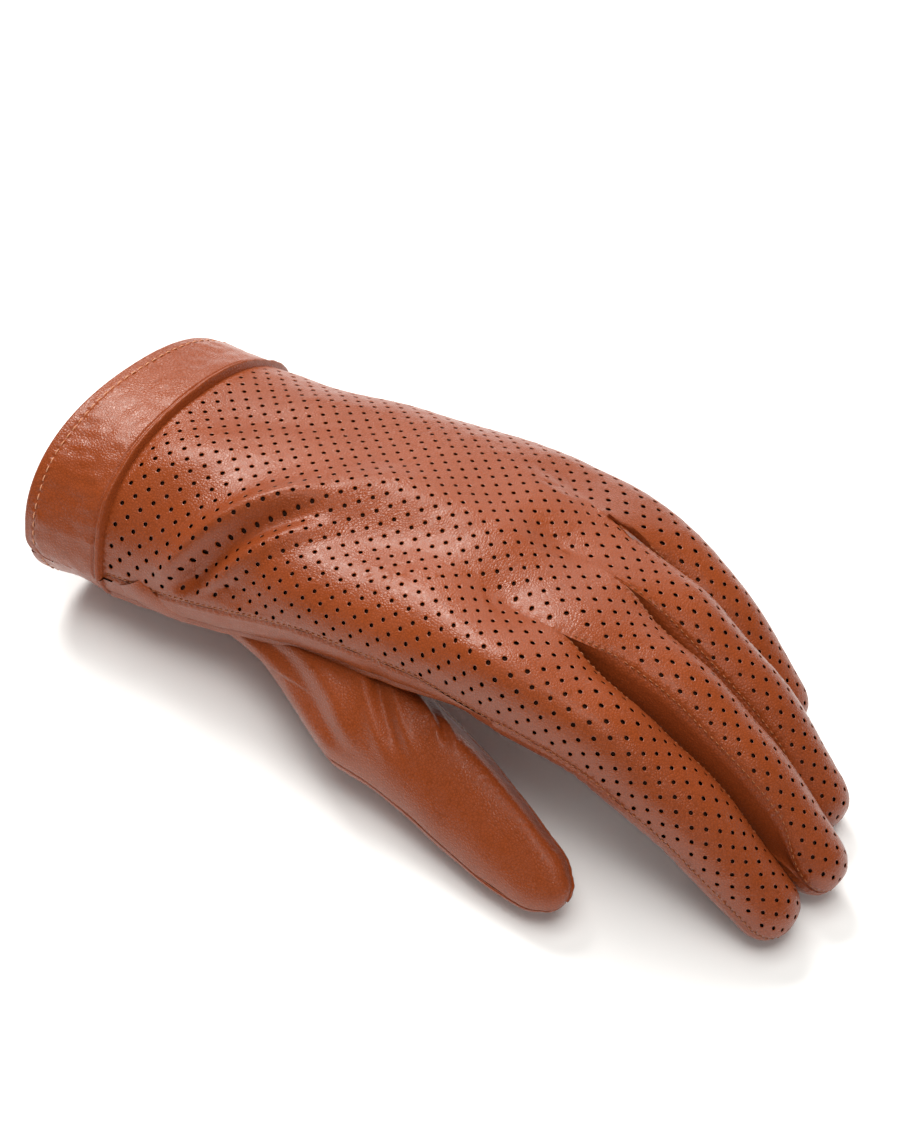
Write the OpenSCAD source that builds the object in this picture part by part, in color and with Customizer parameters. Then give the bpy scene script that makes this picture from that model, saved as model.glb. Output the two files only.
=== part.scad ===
// Left-hand leather dress glove with a perforated back, palm down, fingers lightly curled.
// Millimetres, +Z up, origin under the middle of the glove on the surface it rests on.
// +X runs from the wrist to the fingertips and the thumb lies on the -Y side.

/* [Leather] */
// Thickness of one layer of glove leather
leather_t = 1; // [0.8:0.1:1.4]
// Play between two pieces of the same body along a seam
seam_gap = 0.12; // [0.05:0.01:0.3]

/* [Lie of the hand] */
// Wrist centre along the glove
wrist_x = -96.2; // [-110:0.1:-80]
// Wrist centre across the glove
wrist_y = 25.2; // [10:0.1:40]
// Height of the wrist centre above the table
wrist_z = 21.58; // [18:0.02:32]
// Turn of the hand about the vertical
hand_yaw = -8; // [-20:1:20]
// Tilt of the hand that lifts the index side
hand_roll = -9; // [-20:1:10]
// Rise of the hand from the wrist to the knuckles
hand_rise = -7; // [-15:1:0]

/* [Cuff and hand] */
// Half width of the cuff mouth
cuff_w = 33.5; // [28:0.5:40]
// Half height of the cuff mouth
cuff_h = 22; // [17:0.5:28]
// Length of the cuff band
cuff_len = 15; // [10:1:30]
// Half width at the narrow of the wrist
wrist_w = 33; // [27:0.5:40]
// Half height at the narrow of the wrist
wrist_h = 20.5; // [16:0.5:26]
// Half width over the knuckles
knuckle_w = 41.5; // [36:0.5:48]
// Half height over the knuckles
knuckle_h = 14.5; // [12:0.5:20]
// Roundness of the hand's cross-section, 2 is an ellipse
hand_round = 2.3; // [2:0.1:3]
// Diameter of the piping between the cuff and the hand
piping_d = 1.6; // [1:0.1:3]

/* [Fingers] */
// Length of the index base section
index_l1 = 23; // [18:0.5:30]
// Length of the index middle section
index_l2 = 27; // [20:0.5:34]
// Length of the index tip section
index_l3 = 28; // [20:0.5:34]
// Length of the middle finger base section
middle_l1 = 24; // [18:0.5:32]
// Length of the middle finger middle section
middle_l2 = 28; // [20:0.5:36]
// Length of the middle finger tip section
middle_l3 = 26; // [20:0.5:34]
// Length of the ring finger base section
ring_l1 = 21; // [17:0.5:30]
// Length of the ring finger middle section
ring_l2 = 26; // [20:0.5:34]
// Length of the ring finger tip section
ring_l3 = 24.5; // [20:0.5:34]
// Length of the little finger base section
little_l1 = 16; // [13:0.5:24]
// Length of the little finger middle section
little_l2 = 21; // [16:0.5:28]
// Length of the little finger tip section
little_l3 = 21; // [16:0.5:28]
// Bend of a finger at its root
root_bend = 16; // [5:1:25]
// Bend of a finger at its middle joint
mid_bend = 18; // [5:1:30]
// Bend of a finger at its end joint
tip_bend = 11; // [3:1:25]

/* [Thumb] */
// Length of the thumb's root section
thumb_l1 = 48; // [40:1:56]
// Length of the thumb's tip section
thumb_l2 = 37; // [30:1:46]
// Half width of the thumb at its root
thumb_w = 17; // [13:0.5:20]
// Half height of the thumb at its root
thumb_h = 13; // [10:0.5:16]
// Bend of the thumb away from the hand
thumb_bend = 16; // [10:1:30]

/* [Play] */
// Clearance between two sections that turn against each other
joint_gap = 0.4; // [0.3:0.05:0.8]
// Farthest a finger root can curl from rest
root_curl = 25; // [10:1:35]
// Farthest a finger's middle joint can curl from rest
mid_curl = 34; // [10:1:45]
// Farthest a finger's end joint can curl from rest
tip_curl = 20; // [5:1:30]
// Farthest a finger root can straighten from rest
root_open = 14; // [5:1:20]
// Farthest a finger's middle joint can straighten from rest
mid_open = 16; // [5:1:20]
// Farthest a finger's end joint can straighten from rest
tip_open = 10; // [3:1:14]

/* [Display] */
// Which piece to show

/* [Hidden] */
tan_brown = [0.55, 0.27, 0.12];
dark_brown = [0.42, 0.2, 0.09];
inner_brown = [0.62, 0.4, 0.25];
thread_brown = [0.35, 0.16, 0.07];
step_in = leather_t + joint_gap;

// one row per finger: root place, splay, lean, share of the bends, lengths, half widths, half heights
fingers = [
  [[124.2, -32, -0.5], 1.5, 0.5, 1, [index_l1, index_l2, index_l3],
   [9.9, 9.1, 8.2, 6.7], [10.6, 9.9, 8.9, 7]],
  [[129, -10.5, 1], -1.5, -3.5, 1, [middle_l1, middle_l2, middle_l3],
   [9.8, 9, 8.1, 6.6], [10.6, 10, 9, 7]],
  [[126, 11, 0], -4.5, -4.5, 1, [ring_l1, ring_l2, ring_l3],
   [9.7, 8.9, 7.9, 6.4], [10.4, 9.6, 8.7, 6.8]],
  [[117.8, 31.8, -1.7], -7, -4, 1, [little_l1, little_l2, little_l3],
   [8.6, 8.2, 7.4, 5.9], [9.4, 8.8, 8, 6.2]]
];
bends = [root_bend, mid_bend, tip_bend];
curls = [root_curl + 9, mid_curl + 9, tip_curl + 6];
opens = [root_open + 3, mid_open + 3, tip_open + 3];

// ---- shell building ----

function spow(v, e) = v < 0 ? -pow(-v, e) : pow(v, e);

// point of a rounded ring at angle a
function ring_y(w, a, r) = w * spow(cos(a), 2 / r);
function ring_z(h, a, r) = h * spow(sin(a), 2 / r);

// closed faces of a grid shell: m + 1 stations of k + 1 points, outer grid first, then inner grid
function quad(a, b, c, d) = [[a, c, b], [a, d, c]];
function flat(l) = [for (s = l) for (f = s) f];
function shell_faces(m, k, looped) =
  let(n = (m + 1) * (k + 1), kk = looped ? k + 1 : k, q = k + 1)
  concat(
    flat([for (i = [0:m - 1]) for (j = [0:kk - 1]) let(j2 = (j + 1) % q)
      quad(i * q + j, i * q + j2, (i + 1) * q + j2, (i + 1) * q + j)]),
    flat([for (i = [0:m - 1]) for (j = [0:kk - 1]) let(j2 = (j + 1) % q)
      quad(n + i * q + j2, n + i * q + j, n + (i + 1) * q + j, n + (i + 1) * q + j2)]),
    flat([for (j = [0:kk - 1]) let(j2 = (j + 1) % q)
      quad(j2, j, n + j, n + j2)]),
    flat([for (j = [0:kk - 1]) let(j2 = (j + 1) % q)
      quad(m * q + j, m * q + j2, n + m * q + j2, n + m * q + j)]),
    looped ? [] : flat([for (i = [0:m - 1])
      quad(i * q, (i + 1) * q, n + (i + 1) * q, n + i * q)]),
    looped ? [] : flat([for (i = [0:m - 1])
      quad((i + 1) * q + k, i * q + k, n + i * q + k, n + (i + 1) * q + k)])
  );

module shell(outer, inner, looped = false) {
  polyhedron(
    points = concat(flat(outer), flat(inner)),
    faces = shell_faces(len(outer) - 1, len(outer[0]) - 1, looped),
    convexity = 6
  );
}

// ---- placing ----

module in_hand() {
  translate([wrist_x, wrist_y, wrist_z])
    rotate([0, 0, hand_yaw])
      rotate([hand_roll, 0, 0])
        rotate([0, hand_rise, 0])
          children();
}

// frame of section s (0 root, 1 middle, 2 tip) of finger f
module in_finger(f, s) {
  in_hand()
    translate(fingers[f][0])
      rotate([0, 0, fingers[f][1]])
        rotate([fingers[f][2], 0, 0])
          rotate([0, bends[0] * fingers[f][3], 0])
            finger_chain(f, s, 1)
              children();
}

module finger_chain(f, s, i) {
  if (s >= i)
    translate([fingers[f][4][i - 1], 0, 0])
      rotate([0, bends[i] * fingers[f][3], 0])
        finger_chain(f, s, i + 1)
          children();
  else
    children();
}

// ---- hand shell ----

// stations along the hand: place, side drift, height, half width, half height, slant
hand_sections = [
  [5, 0, 0, cuff_w, cuff_h, 6],
  [5 + cuff_len, 0, 0, cuff_w - 1, cuff_h - 0.5, 4.5],
  [32, 0, 0, wrist_w, wrist_h, 3],
  [46, -0.5, 0, (wrist_w + knuckle_w) / 2 - 1.9, wrist_h - 0.4, 2],
  [60, -1, 0, knuckle_w - 3.5, wrist_h - 1, 1],
  [75, -1, 0.3, knuckle_w - 1.6, wrist_h - 2.4, 0.5],
  [90, -1, 0.5, knuckle_w - 0.5, knuckle_h + 2.5, 0],
  [112, -1, 0, knuckle_w, knuckle_h, -1]
];

function lerp(a, b, t) = a + (b - a) * t;
// section at a distance x from the wrist
function section_at(x, i = 0) =
  i >= len(hand_sections) - 2 || x <= hand_sections[i + 1][0] ?
    let(t = (x - hand_sections[i][0]) / (hand_sections[i + 1][0] - hand_sections[i][0]))
      [for (c = [0:5]) lerp(hand_sections[i][c], hand_sections[i + 1][c], t)]
    : section_at(x, i + 1);

// a point on the hand at distance x, ring angle a, sunk below the surface by d
function hand_point(x, a, d) =
  let(s = section_at(x), y = ring_y(s[3] - d, a, hand_round))
  [s[0] + s[5] * y / s[3], s[1] + y, s[2] + ring_z(s[4] - d, a, hand_round)];

// front edge of the hand: stepped so that every finger starts at its own crotch line
function root_for(y) = y < -21.25 ? 0 : y < 0.25 ? 1 : y < 21.1 ? 2 : 3;
function front_x(y) = fingers[root_for(y)][0][0] - 1.7;
front_cuts = [1, 0.96, 0.88, 0.74, 0.56, 0.53, 0.34, 0.17, 0.04, 0.02,
  -0.17, -0.34, -0.47, -0.515, -0.72, -0.88, -0.96, -1];
function front_ring(side, d) = [for (c = front_cuts)
  let(w = knuckle_w - 0.5 - d, h = knuckle_h - 2 - d, y = w * c)
  [front_x(y - 1), y - 1, -1 + side * h * pow(max(0, 1 - pow(abs(c), hand_round)), 1 / hand_round)]];
function front_angle(c) = acos(spow(c, hand_round / 2));

// back of the hand: ulnar edge, over the top, to the seam on the thumb side
back_stations = [20.6, 26, 32, 39, 46, 53, 60, 68, 75, 83, 90, 98, 106, 112];
function back_row(x, d) = [for (c = front_cuts) hand_point(x, front_angle(c), d)];
function palm_row(x, d) = [for (c = front_cuts) hand_point(x, -front_angle(c), d)];
function trimmed(row, lo, hi) = [for (i = [lo:hi]) row[i]];

module back_panel() {
  color(tan_brown)
    in_hand()
      translate([0, 0, seam_gap])
        shell(
          outer = concat([for (x = back_stations) back_row(x, 0)], [front_ring(1, 0)]),
          inner = concat([for (x = back_stations) back_row(x, leather_t)], [front_ring(1, leather_t)])
        );
}

// room the thumb needs beside the hand
module thumb_room() {
  in_thumb(0)
    rotate([0, 90, 0])
      linear_extrude(height = 62, scale = [0.86, 0.8])
        scale([thumb_h + 1.6, thumb_w + 1.6])
          circle(r = 1, $fn = 24);
}

module palm_panel() {
  color(tan_brown)
    difference() {
      in_hand()
        shell(
          outer = concat([for (x = back_stations) mirror_row(trimmed(palm_row(x, 0), 0, 14))],
            [mirror_row(trimmed(front_ring(-1, 0), 0, 14))]),
          inner = concat([for (x = back_stations) mirror_row(trimmed(palm_row(x, leather_t), 0, 14))],
            [mirror_row(trimmed(front_ring(-1, leather_t), 0, 14))])
        );
      thumb_room();
    }
}

function mirror_row(row) = [for (i = [len(row) - 1:-1:0]) row[i]];

// plain strip between the back's side seam and the thumb
// each row: distance from the wrist and the ring angle of the strip's lower edge
strip_rows = [[37, 224], [43, 220], [49, 210], [55, 198], [60, 190], [65, 187], [70, 187.5], [75, 190.5],
  [82, 197], [89, 206], [96, 215], [104, 220], [111.5, 222]];
module side_strip() {
  color(tan_brown)
    in_hand()
      translate([0, -0.4, -0.1])
        shell(
          outer = [for (r = strip_rows) [for (i = [0:4]) hand_point(r[0], lerp(181, r[1], i / 4), 0)]],
          inner = [for (r = strip_rows)
            [for (i = [0:4]) hand_point(r[0], lerp(181, r[1], i / 4), leather_t)]]
        );
}

module vent_flap() {
  color(dark_brown)
    in_hand()
      translate([0, -0.4, -0.1])
        shell(
          outer = [for (i = [0:4]) let(x = 21.5 + i * 2.9) [for (j = [0:4])
            hand_point(x, 182 + j * (2 + i * 1.6), 0.1)]],
          inner = [for (i = [0:4]) let(x = 21.5 + i * 2.9) [for (j = [0:4])
            hand_point(x, 182 + j * (2 + i * 1.6), leather_t)]]
        );
}

// ---- cuff ----

ring_steps = 40;
function cuff_row(x, d) = [for (i = [0:ring_steps - 1]) hand_point(x, i * 360 / ring_steps, d)];

module cuff_band() {
  color(tan_brown)
    in_hand()
      shell(
        outer = [cuff_row(5, 0.1), cuff_row(10, -0.2), cuff_row(15, -0.2), cuff_row(18.2, 0)],
        inner = [cuff_row(5, leather_t), cuff_row(10, leather_t), cuff_row(15, leather_t),
          cuff_row(18.2, leather_t)],
        looped = true
      );
}

module cuff_facing() {
  color(inner_brown)
    in_hand()
      shell(
        outer = [cuff_row(5.6, leather_t + 0.1), cuff_row(12, leather_t + 0.1), cuff_row(18, leather_t + 0.1)],
        inner = [cuff_row(5.6, leather_t + 0.8), cuff_row(12, leather_t + 0.8), cuff_row(18, leather_t + 0.8)],
        looped = true
      );
}

// round piping in the seam between cuff and hand
piping_at = [[-0.55, -0.3], [-0.3, 0.22], [0.3, 0.22], [0.55, -0.3]];
module cuff_piping() {
  color(dark_brown)
    in_hand()
      shell(
        outer = [for (p = piping_at) cuff_row(19.4 + p[0] * piping_d, -p[1] * piping_d - 0.1)],
        inner = [for (p = piping_at) cuff_row(19.4 + p[0] * piping_d, 0.8 + p[1] * 0.2)],
        looped = true
      );
}

// row of stitching around the hem
module hem_thread() {
  color(thread_brown)
    in_hand()
      shell(
        outer = [cuff_row(7.3, -0.17), cuff_row(7.9, -0.19)],
        inner = [cuff_row(7.3, -0.06), cuff_row(7.9, -0.08)],
        looped = true
      );
}

// ---- finger shells ----

finger_round = 2.2;

// ring of a finger section; the end is cut slanting above and below the hinge line
function tube_row(x, w, h, angles, up, down) = [for (a = angles)
  let(z = ring_z(h, a, finger_round))
  [x + (z > 0 ? z * tan(up) : -z * tan(down)), ring_y(w, a, finger_round), z]];

// neck that slips under the next section, round about the hinge line
function neck_row(x, w, h, angles, up, down) = [for (a = angles)
  let(z = ring_z(h, a, finger_round), t = z > 0 ? up : down)
  [x + abs(z) * sin(t), ring_y(w, a, finger_round), z * cos(t)]];

function angle_run(lo, hi, n) = [for (i = [0:n]) lo + (hi - lo) * i / n];

// outer or inner grid of a section: d is the depth below the outer surface
function section_grid(len, w0, w1, h0, h1, angles, up0, down0, d, back_off) = [
  tube_row(0.5, w0 - d, h0 - d, angles, up0, down0),
  tube_row(len * 0.3, w0 - d - (w0 - w1) * 0.2, h0 - d - (h0 - h1) * 0.2, angles, up0 * 0.45, down0 * 0.45),
  tube_row(len * 0.62, lerp(w0, w1, 0.62) - d, lerp(h0, h1, 0.62) - d, angles, 0, 0),
  tube_row(len - 3.2, lerp(w0, w1, 0.9) - d, lerp(h0, h1, 0.9) - d, angles, 0, 0),
  tube_row(len - 0.7 - back_off, w1 - d - (back_off > 0 ? step_in : 0),
    h1 - d - (back_off > 0 ? step_in : 0), angles, 0, 0)
];
function neck_grid(len, w1, h1, angles, up1, down1, d) = [for (k = [0:3])
  neck_row(len - 0.45 + k * 0.25, w1 - d - step_in, h1 - d - step_in, angles, up1 * k / 3, down1 * k / 3)];

// root or middle section: neck is true for the panels and false for the side gussets
module section(f, s, lo, hi, steps, neck) {
  angles = angle_run(lo, hi, steps);
  len = fingers[f][4][s];
  w0 = fingers[f][5][s];
  w1 = fingers[f][5][s + 1];
  h0 = fingers[f][6][s];
  h1 = fingers[f][6][s + 1];
  up1 = opens[s + 1] + 12;
  down1 = curls[s + 1] + 12;
  in_finger(f, s)
    shell(
      outer = concat(section_grid(len, w0, w1, h0, h1, angles, opens[s], curls[s], 0, 0),
        neck ? neck_grid(len, w1, h1, angles, up1, down1, 0) : []),
      inner = concat(
        section_grid(len, w0, w1, h0, h1, angles, opens[s], curls[s], leather_t, neck ? 1.2 : 0),
        neck ? neck_grid(len, w1, h1, angles, up1, down1, leather_t) : [])
    );
}

// closed fingertip
function tip_grid(len, w0, w1, h0, h1, angles, up0, down0, d) = [
  tube_row(0.5, w0 - d, h0 - d, angles, up0, down0),
  tube_row(len * 0.3, lerp(w0, w1, 0.25) - d, lerp(h0, h1, 0.2) - d, angles, up0 * 0.4, down0 * 0.4),
  tube_row(len * 0.65, lerp(w0, w1, 0.6) - d, lerp(h0, h1, 0.55) - d, angles, 0, 0),
  tube_row(len - d * 0.2, w1 - d, h1 - d, angles, 0, 0),
  tube_row(len + 2.6 - d * 0.7, w1 * 0.82 - d, h1 * 0.8 - d, angles, 0, 0),
  tube_row(len + 4.4 - d, w1 * 0.5 - d * 0.8, h1 * 0.48 - d * 0.8, angles, 0, 0),
  tube_row(len + 5 - d, 0.7 - d * 0.25, 0.7 - d * 0.25, angles, 0, 0)
];

module tip(f, lo, hi, steps) {
  angles = angle_run(lo, hi, steps);
  len = fingers[f][4][2];
  w0 = fingers[f][5][2];
  w1 = fingers[f][5][3];
  h0 = fingers[f][6][2];
  h1 = fingers[f][6][3];
  in_finger(f, 2)
    shell(
      outer = tip_grid(len, w0, w1, h0, h1, angles, opens[2], curls[2], 0),
      inner = tip_grid(len, w0, w1, h0, h1, angles, opens[2], curls[2], leather_t)
    );
}

// seams sit at 33 degrees above and below the side line of a finger with a gusset
module index_back_root() { color(tan_brown) section(0, 0, 34, 190, 10, true); }
module index_palm_root() { color(tan_brown) section(0, 0, 191, 326, 9, true); }
module index_inner_gusset_root() { color(dark_brown) section(0, 0, -33, 33, 5, false); }
module index_back_mid() { color(tan_brown) section(0, 1, 34, 190, 10, true); }
module index_palm_mid() { color(tan_brown) section(0, 1, 191, 326, 9, true); }
module index_inner_gusset_mid() { color(dark_brown) section(0, 1, -33, 33, 5, false); }
module index_back_tip() { color(tan_brown) tip(0, 0.5, 187, 11); }
module index_palm_tip() { color(tan_brown) tip(0, 188, 359.5, 10); }

module middle_back_root() { color(tan_brown) section(1, 0, 34, 146, 8, true); }
module middle_palm_root() { color(tan_brown) section(1, 0, 214, 326, 8, true); }
module middle_outer_gusset_root() { color(dark_brown) section(1, 0, 147, 213, 5, false); }
module middle_inner_gusset_root() { color(dark_brown) section(1, 0, -33, 33, 5, false); }
module middle_back_mid() { color(tan_brown) section(1, 1, 34, 146, 8, true); }
module middle_palm_mid() { color(tan_brown) section(1, 1, 214, 326, 8, true); }
module middle_outer_gusset_mid() { color(dark_brown) section(1, 1, 147, 213, 5, false); }
module middle_inner_gusset_mid() { color(dark_brown) section(1, 1, -33, 33, 5, false); }
module middle_back_tip() { color(tan_brown) tip(1, 0.5, 179.5, 11); }
module middle_palm_tip() { color(tan_brown) tip(1, 180.5, 359.5, 11); }

module ring_back_root() { color(tan_brown) section(2, 0, 34, 146, 8, true); }
module ring_palm_root() { color(tan_brown) section(2, 0, 214, 326, 8, true); }
module ring_outer_gusset_root() { color(dark_brown) section(2, 0, 147, 213, 5, false); }
module ring_inner_gusset_root() { color(dark_brown) section(2, 0, -33, 33, 5, false); }
module ring_back_mid() { color(tan_brown) section(2, 1, 34, 146, 8, true); }
module ring_palm_mid() { color(tan_brown) section(2, 1, 214, 326, 8, true); }
module ring_outer_gusset_mid() { color(dark_brown) section(2, 1, 147, 213, 5, false); }
module ring_inner_gusset_mid() { color(dark_brown) section(2, 1, -33, 33, 5, false); }
module ring_back_tip() { color(tan_brown) tip(2, 0.5, 179.5, 11); }
module ring_palm_tip() { color(tan_brown) tip(2, 180.5, 359.5, 11); }

module little_back_root() { color(tan_brown) section(3, 0, -10, 146, 10, true); }
module little_palm_root() { color(tan_brown) section(3, 0, 214, 349, 9, true); }
module little_outer_gusset_root() { color(dark_brown) section(3, 0, 147, 213, 5, false); }
module little_back_mid() { color(tan_brown) section(3, 1, -10, 146, 10, true); }
module little_palm_mid() { color(tan_brown) section(3, 1, 214, 349, 9, true); }
module little_outer_gusset_mid() { color(dark_brown) section(3, 1, 147, 213, 5, false); }
module little_back_tip() { color(tan_brown) tip(3, -7, 179.5, 11); }
module little_palm_tip() { color(tan_brown) tip(3, 180.5, 352, 10); }

// ---- thumb ----

module in_thumb(s) {
  in_hand()
    translate([62, -43, -16])
      rotate([0, 0, 3])
        rotate([-30, 0, 0])
          rotate([0, thumb_bend, 0])
            translate([s * thumb_l1, 0, 0])
              rotate([0, s * 5, 0])
                children();
}

thumb_up = 18;
thumb_down = 40;

function thumb_root_grid(angles, d, back_off) = [
  tube_row(1, thumb_w - 3 - d, thumb_h - 1.5 - d, angles, 10, 10),
  tube_row(14, thumb_w - d, thumb_h - d, angles, 0, 0),
  tube_row(27, thumb_w - 0.8 - d, thumb_h - 0.2 - d, angles, 0, 0),
  tube_row(thumb_l1 - 5, thumb_w - 2.6 - d, thumb_h - 1 - d, angles, 0, 0),
  tube_row(thumb_l1 - 0.7 - back_off, thumb_w - 3.4 - d - (back_off > 0 ? step_in : 0),
    thumb_h - 1.4 - d - (back_off > 0 ? step_in : 0), angles, 0, 0),
  for (k = [0:3]) neck_row(thumb_l1 - 0.45 + k * 0.25, thumb_w - 3.4 - d - step_in,
    thumb_h - 1.4 - d - step_in, angles, (thumb_up + 10) * k / 3, (thumb_down + 10) * k / 3)
];

module thumb_root(lo, hi, steps) {
  angles = angle_run(lo, hi, steps);
  in_thumb(0)
    shell(outer = thumb_root_grid(angles, 0, 0), inner = thumb_root_grid(angles, leather_t, 1.2));
}

function thumb_tip_grid(angles, d) = [
  tube_row(0.5, thumb_w - 3.4 - d, thumb_h - 1.4 - d, angles, thumb_up, thumb_down),
  tube_row(11, thumb_w - 4.2 - d, thumb_h - 1.8 - d, angles, thumb_up * 0.4, thumb_down * 0.4),
  tube_row(20, thumb_w - 5.2 - d, thumb_h - 2.6 - d, angles, 0, 0),
  tube_row(thumb_l2 - 8, thumb_w - 7 - d, thumb_h - 4 - d, angles, 0, 0),
  tube_row(thumb_l2 - d * 0.2, thumb_w - 9 - d, thumb_h - 5.6 - d, angles, 0, 0),
  tube_row(thumb_l2 + 3 - d * 0.7, thumb_w - 11 - d, thumb_h - 7.4 - d, angles, 0, 0),
  tube_row(thumb_l2 + 5 - d, thumb_w - 13.6 - d * 0.8, thumb_h - 9.8 - d * 0.8, angles, 0, 0),
  tube_row(thumb_l2 + 5.6 - d, 0.7 - d * 0.25, 0.7 - d * 0.25, angles, 0, 0)
];

module thumb_tip(lo, hi, steps) {
  angles = angle_run(lo, hi, steps);
  in_thumb(1)
    shell(outer = thumb_tip_grid(angles, 0), inner = thumb_tip_grid(angles, leather_t));
}

module thumb_top_root() { color(tan_brown) thumb_root(0.5, 179.5, 14); }
module thumb_under_root() { color(tan_brown) thumb_root(180.5, 359.5, 14); }
module thumb_top_tip() { color(tan_brown) thumb_tip(0.5, 179.5, 12); }
module thumb_under_tip() { color(tan_brown) thumb_tip(180.5, 359.5, 12); }

back_panel();
palm_panel();
side_strip();
vent_flap();
cuff_band();
cuff_facing();
cuff_piping();
hem_thread();
index_back_root();
index_palm_root();
index_inner_gusset_root();
index_back_mid();
index_palm_mid();
index_inner_gusset_mid();
index_back_tip();
index_palm_tip();
middle_back_root();
middle_palm_root();
middle_outer_gusset_root();
middle_inner_gusset_root();
middle_back_mid();
middle_palm_mid();
middle_outer_gusset_mid();
middle_inner_gusset_mid();
middle_back_tip();
middle_palm_tip();
ring_back_root();
ring_palm_root();
ring_outer_gusset_root();
ring_inner_gusset_root();
ring_back_mid();
ring_palm_mid();
ring_outer_gusset_mid();
ring_inner_gusset_mid();
ring_back_tip();
ring_palm_tip();
little_back_root();
little_palm_root();
little_outer_gusset_root();
little_back_mid();
little_palm_mid();
little_outer_gusset_mid();
little_back_tip();
little_palm_tip();
thumb_top_root();
thumb_under_root();
thumb_top_tip();
thumb_under_tip();
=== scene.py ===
import math

import bpy
import numpy as np
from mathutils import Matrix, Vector
from mathutils.geometry import delaunay_2d_cdt


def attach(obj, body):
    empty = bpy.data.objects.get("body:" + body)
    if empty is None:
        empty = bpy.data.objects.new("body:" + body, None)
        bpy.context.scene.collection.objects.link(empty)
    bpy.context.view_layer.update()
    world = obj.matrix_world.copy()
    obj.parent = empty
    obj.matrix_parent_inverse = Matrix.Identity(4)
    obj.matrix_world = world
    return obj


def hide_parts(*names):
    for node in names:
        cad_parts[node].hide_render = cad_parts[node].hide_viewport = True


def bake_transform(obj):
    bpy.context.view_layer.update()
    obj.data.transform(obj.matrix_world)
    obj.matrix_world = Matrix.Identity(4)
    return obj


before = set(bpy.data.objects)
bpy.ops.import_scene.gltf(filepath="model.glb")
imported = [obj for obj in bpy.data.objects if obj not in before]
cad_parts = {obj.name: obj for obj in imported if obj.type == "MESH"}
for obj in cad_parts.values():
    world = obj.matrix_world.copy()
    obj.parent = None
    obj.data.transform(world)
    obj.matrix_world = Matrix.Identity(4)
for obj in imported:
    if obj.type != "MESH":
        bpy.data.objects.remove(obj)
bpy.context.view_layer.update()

# ---- the hand's frame


def rot(axis, deg):
    a = math.radians(deg)
    c, s = math.cos(a), math.sin(a)
    return np.array({
        "x": [[1, 0, 0], [0, c, -s], [0, s, c]],
        "y": [[c, 0, s], [0, 1, 0], [-s, 0, c]],
        "z": [[c, -s, 0], [s, c, 0], [0, 0, 1]],
    }[axis])


HAND_R = rot("z", -8) @ rot("x", -9) @ rot("y", -7)
HAND_O = np.array([-96.2, 25.2, 21.58])


def to_row(p):
    """Hand frame in mm to row frame in mm."""
    return np.asarray(p) @ HAND_R.T + HAND_O


def smooth(t):
    t = np.clip(t, 0, 1)
    return t * t * (3 - 2 * t)


def fade(t):
    """1 at 0, 0 at 1, flat at both ends."""
    return 1 - smooth(t)


def spline(x, xs, ys):
    """Smooth curve through (xs, ys), straight outside."""
    xs, ys = np.asarray(xs, float), np.asarray(ys, float)
    m = np.gradient(ys, xs)
    i = np.clip(np.searchsorted(xs, x) - 1, 0, len(xs) - 2)
    h = xs[i + 1] - xs[i]
    t = (x - xs[i]) / h
    low, high = t < 0, t > 1
    u = np.clip(t, 0, 1)
    y = ((1 + 2 * u) * (1 - u) ** 2 * ys[i] + u * (1 - u) ** 2 * h * m[i]
         + u * u * (3 - 2 * u) * ys[i + 1] + u * u * (u - 1) * h * m[i + 1])
    return y + np.where(low, t * h * m[0], 0) + np.where(high, (t - 1) * h * m[-1], 0)


# ---- the hand's sections

ROUND = 2.3
SECTIONS = np.array([
    # x, side drift, height, half width, half height, slant
    [-2, 0, 0, 33.4, 22.0, 6],
    [5, 0, 0, 33.4, 22.0, 6],
    [20, 0, 0, 32.6, 21.5, 4.5],
    [32, 0, 0, 33, 20.6, 3],
    [46, -0.5, 0, 35.3, 20.1, 2],
    [60, -1, 0, 38, 19.5, 1],
    [75, -1, 0.3, 39.9, 18.1, 0.5],
    [90, -1, 0.5, 41, 17.0, 0],
    [112, -1, 0, 41.5, 14.5, -1],
    [134, -1, -1, 40.6, 11.9, -2],
])
RATIOS = np.linspace(0.2, 1.0, 17)
ANGLES = np.radians(np.linspace(-125, 125, 1001))  # from the top, + towards the little finger


def spow(v, e):
    return np.sign(v) * np.abs(v) ** e


def ring_unit(a, r, e=2 / ROUND):
    """Point of a rounded ring of half width 1 and half height r; a is from the top."""
    return spow(np.sin(a), e), r * spow(np.cos(a), e)


def ring_arcs(ratio):
    """Arc length from the top to each of ANGLES, on a ring of half width 1."""
    y, z = ring_unit(ANGLES, ratio)
    run = np.concatenate([[0], np.cumsum(np.hypot(np.diff(y), np.diff(z)))])
    return run - run[len(ANGLES) // 2]


ARCS = np.array([ring_arcs(ratio) for ratio in RATIOS])
ARC_MAX = 2.3
ARC_GRID = np.linspace(-ARC_MAX, ARC_MAX, 1841)
ANGLE_OF_ARC = np.array([np.interp(ARC_GRID, run, ANGLES) for run in ARCS])

SECTION_X = np.arange(-60, 220, 0.1)
SECTION_ROWS = [spline(SECTION_X, SECTIONS[:, 0], SECTIONS[:, k]) for k in range(1, 6)]


def section(x):
    return [np.interp(x, SECTION_X, row) for row in SECTION_ROWS]


def ratio_place(ratio):
    """Place of a height to width ratio among RATIOS."""
    return np.clip((ratio - RATIOS[0]) / (RATIOS[1] - RATIOS[0]), 0, len(RATIOS) - 1.001)


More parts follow.
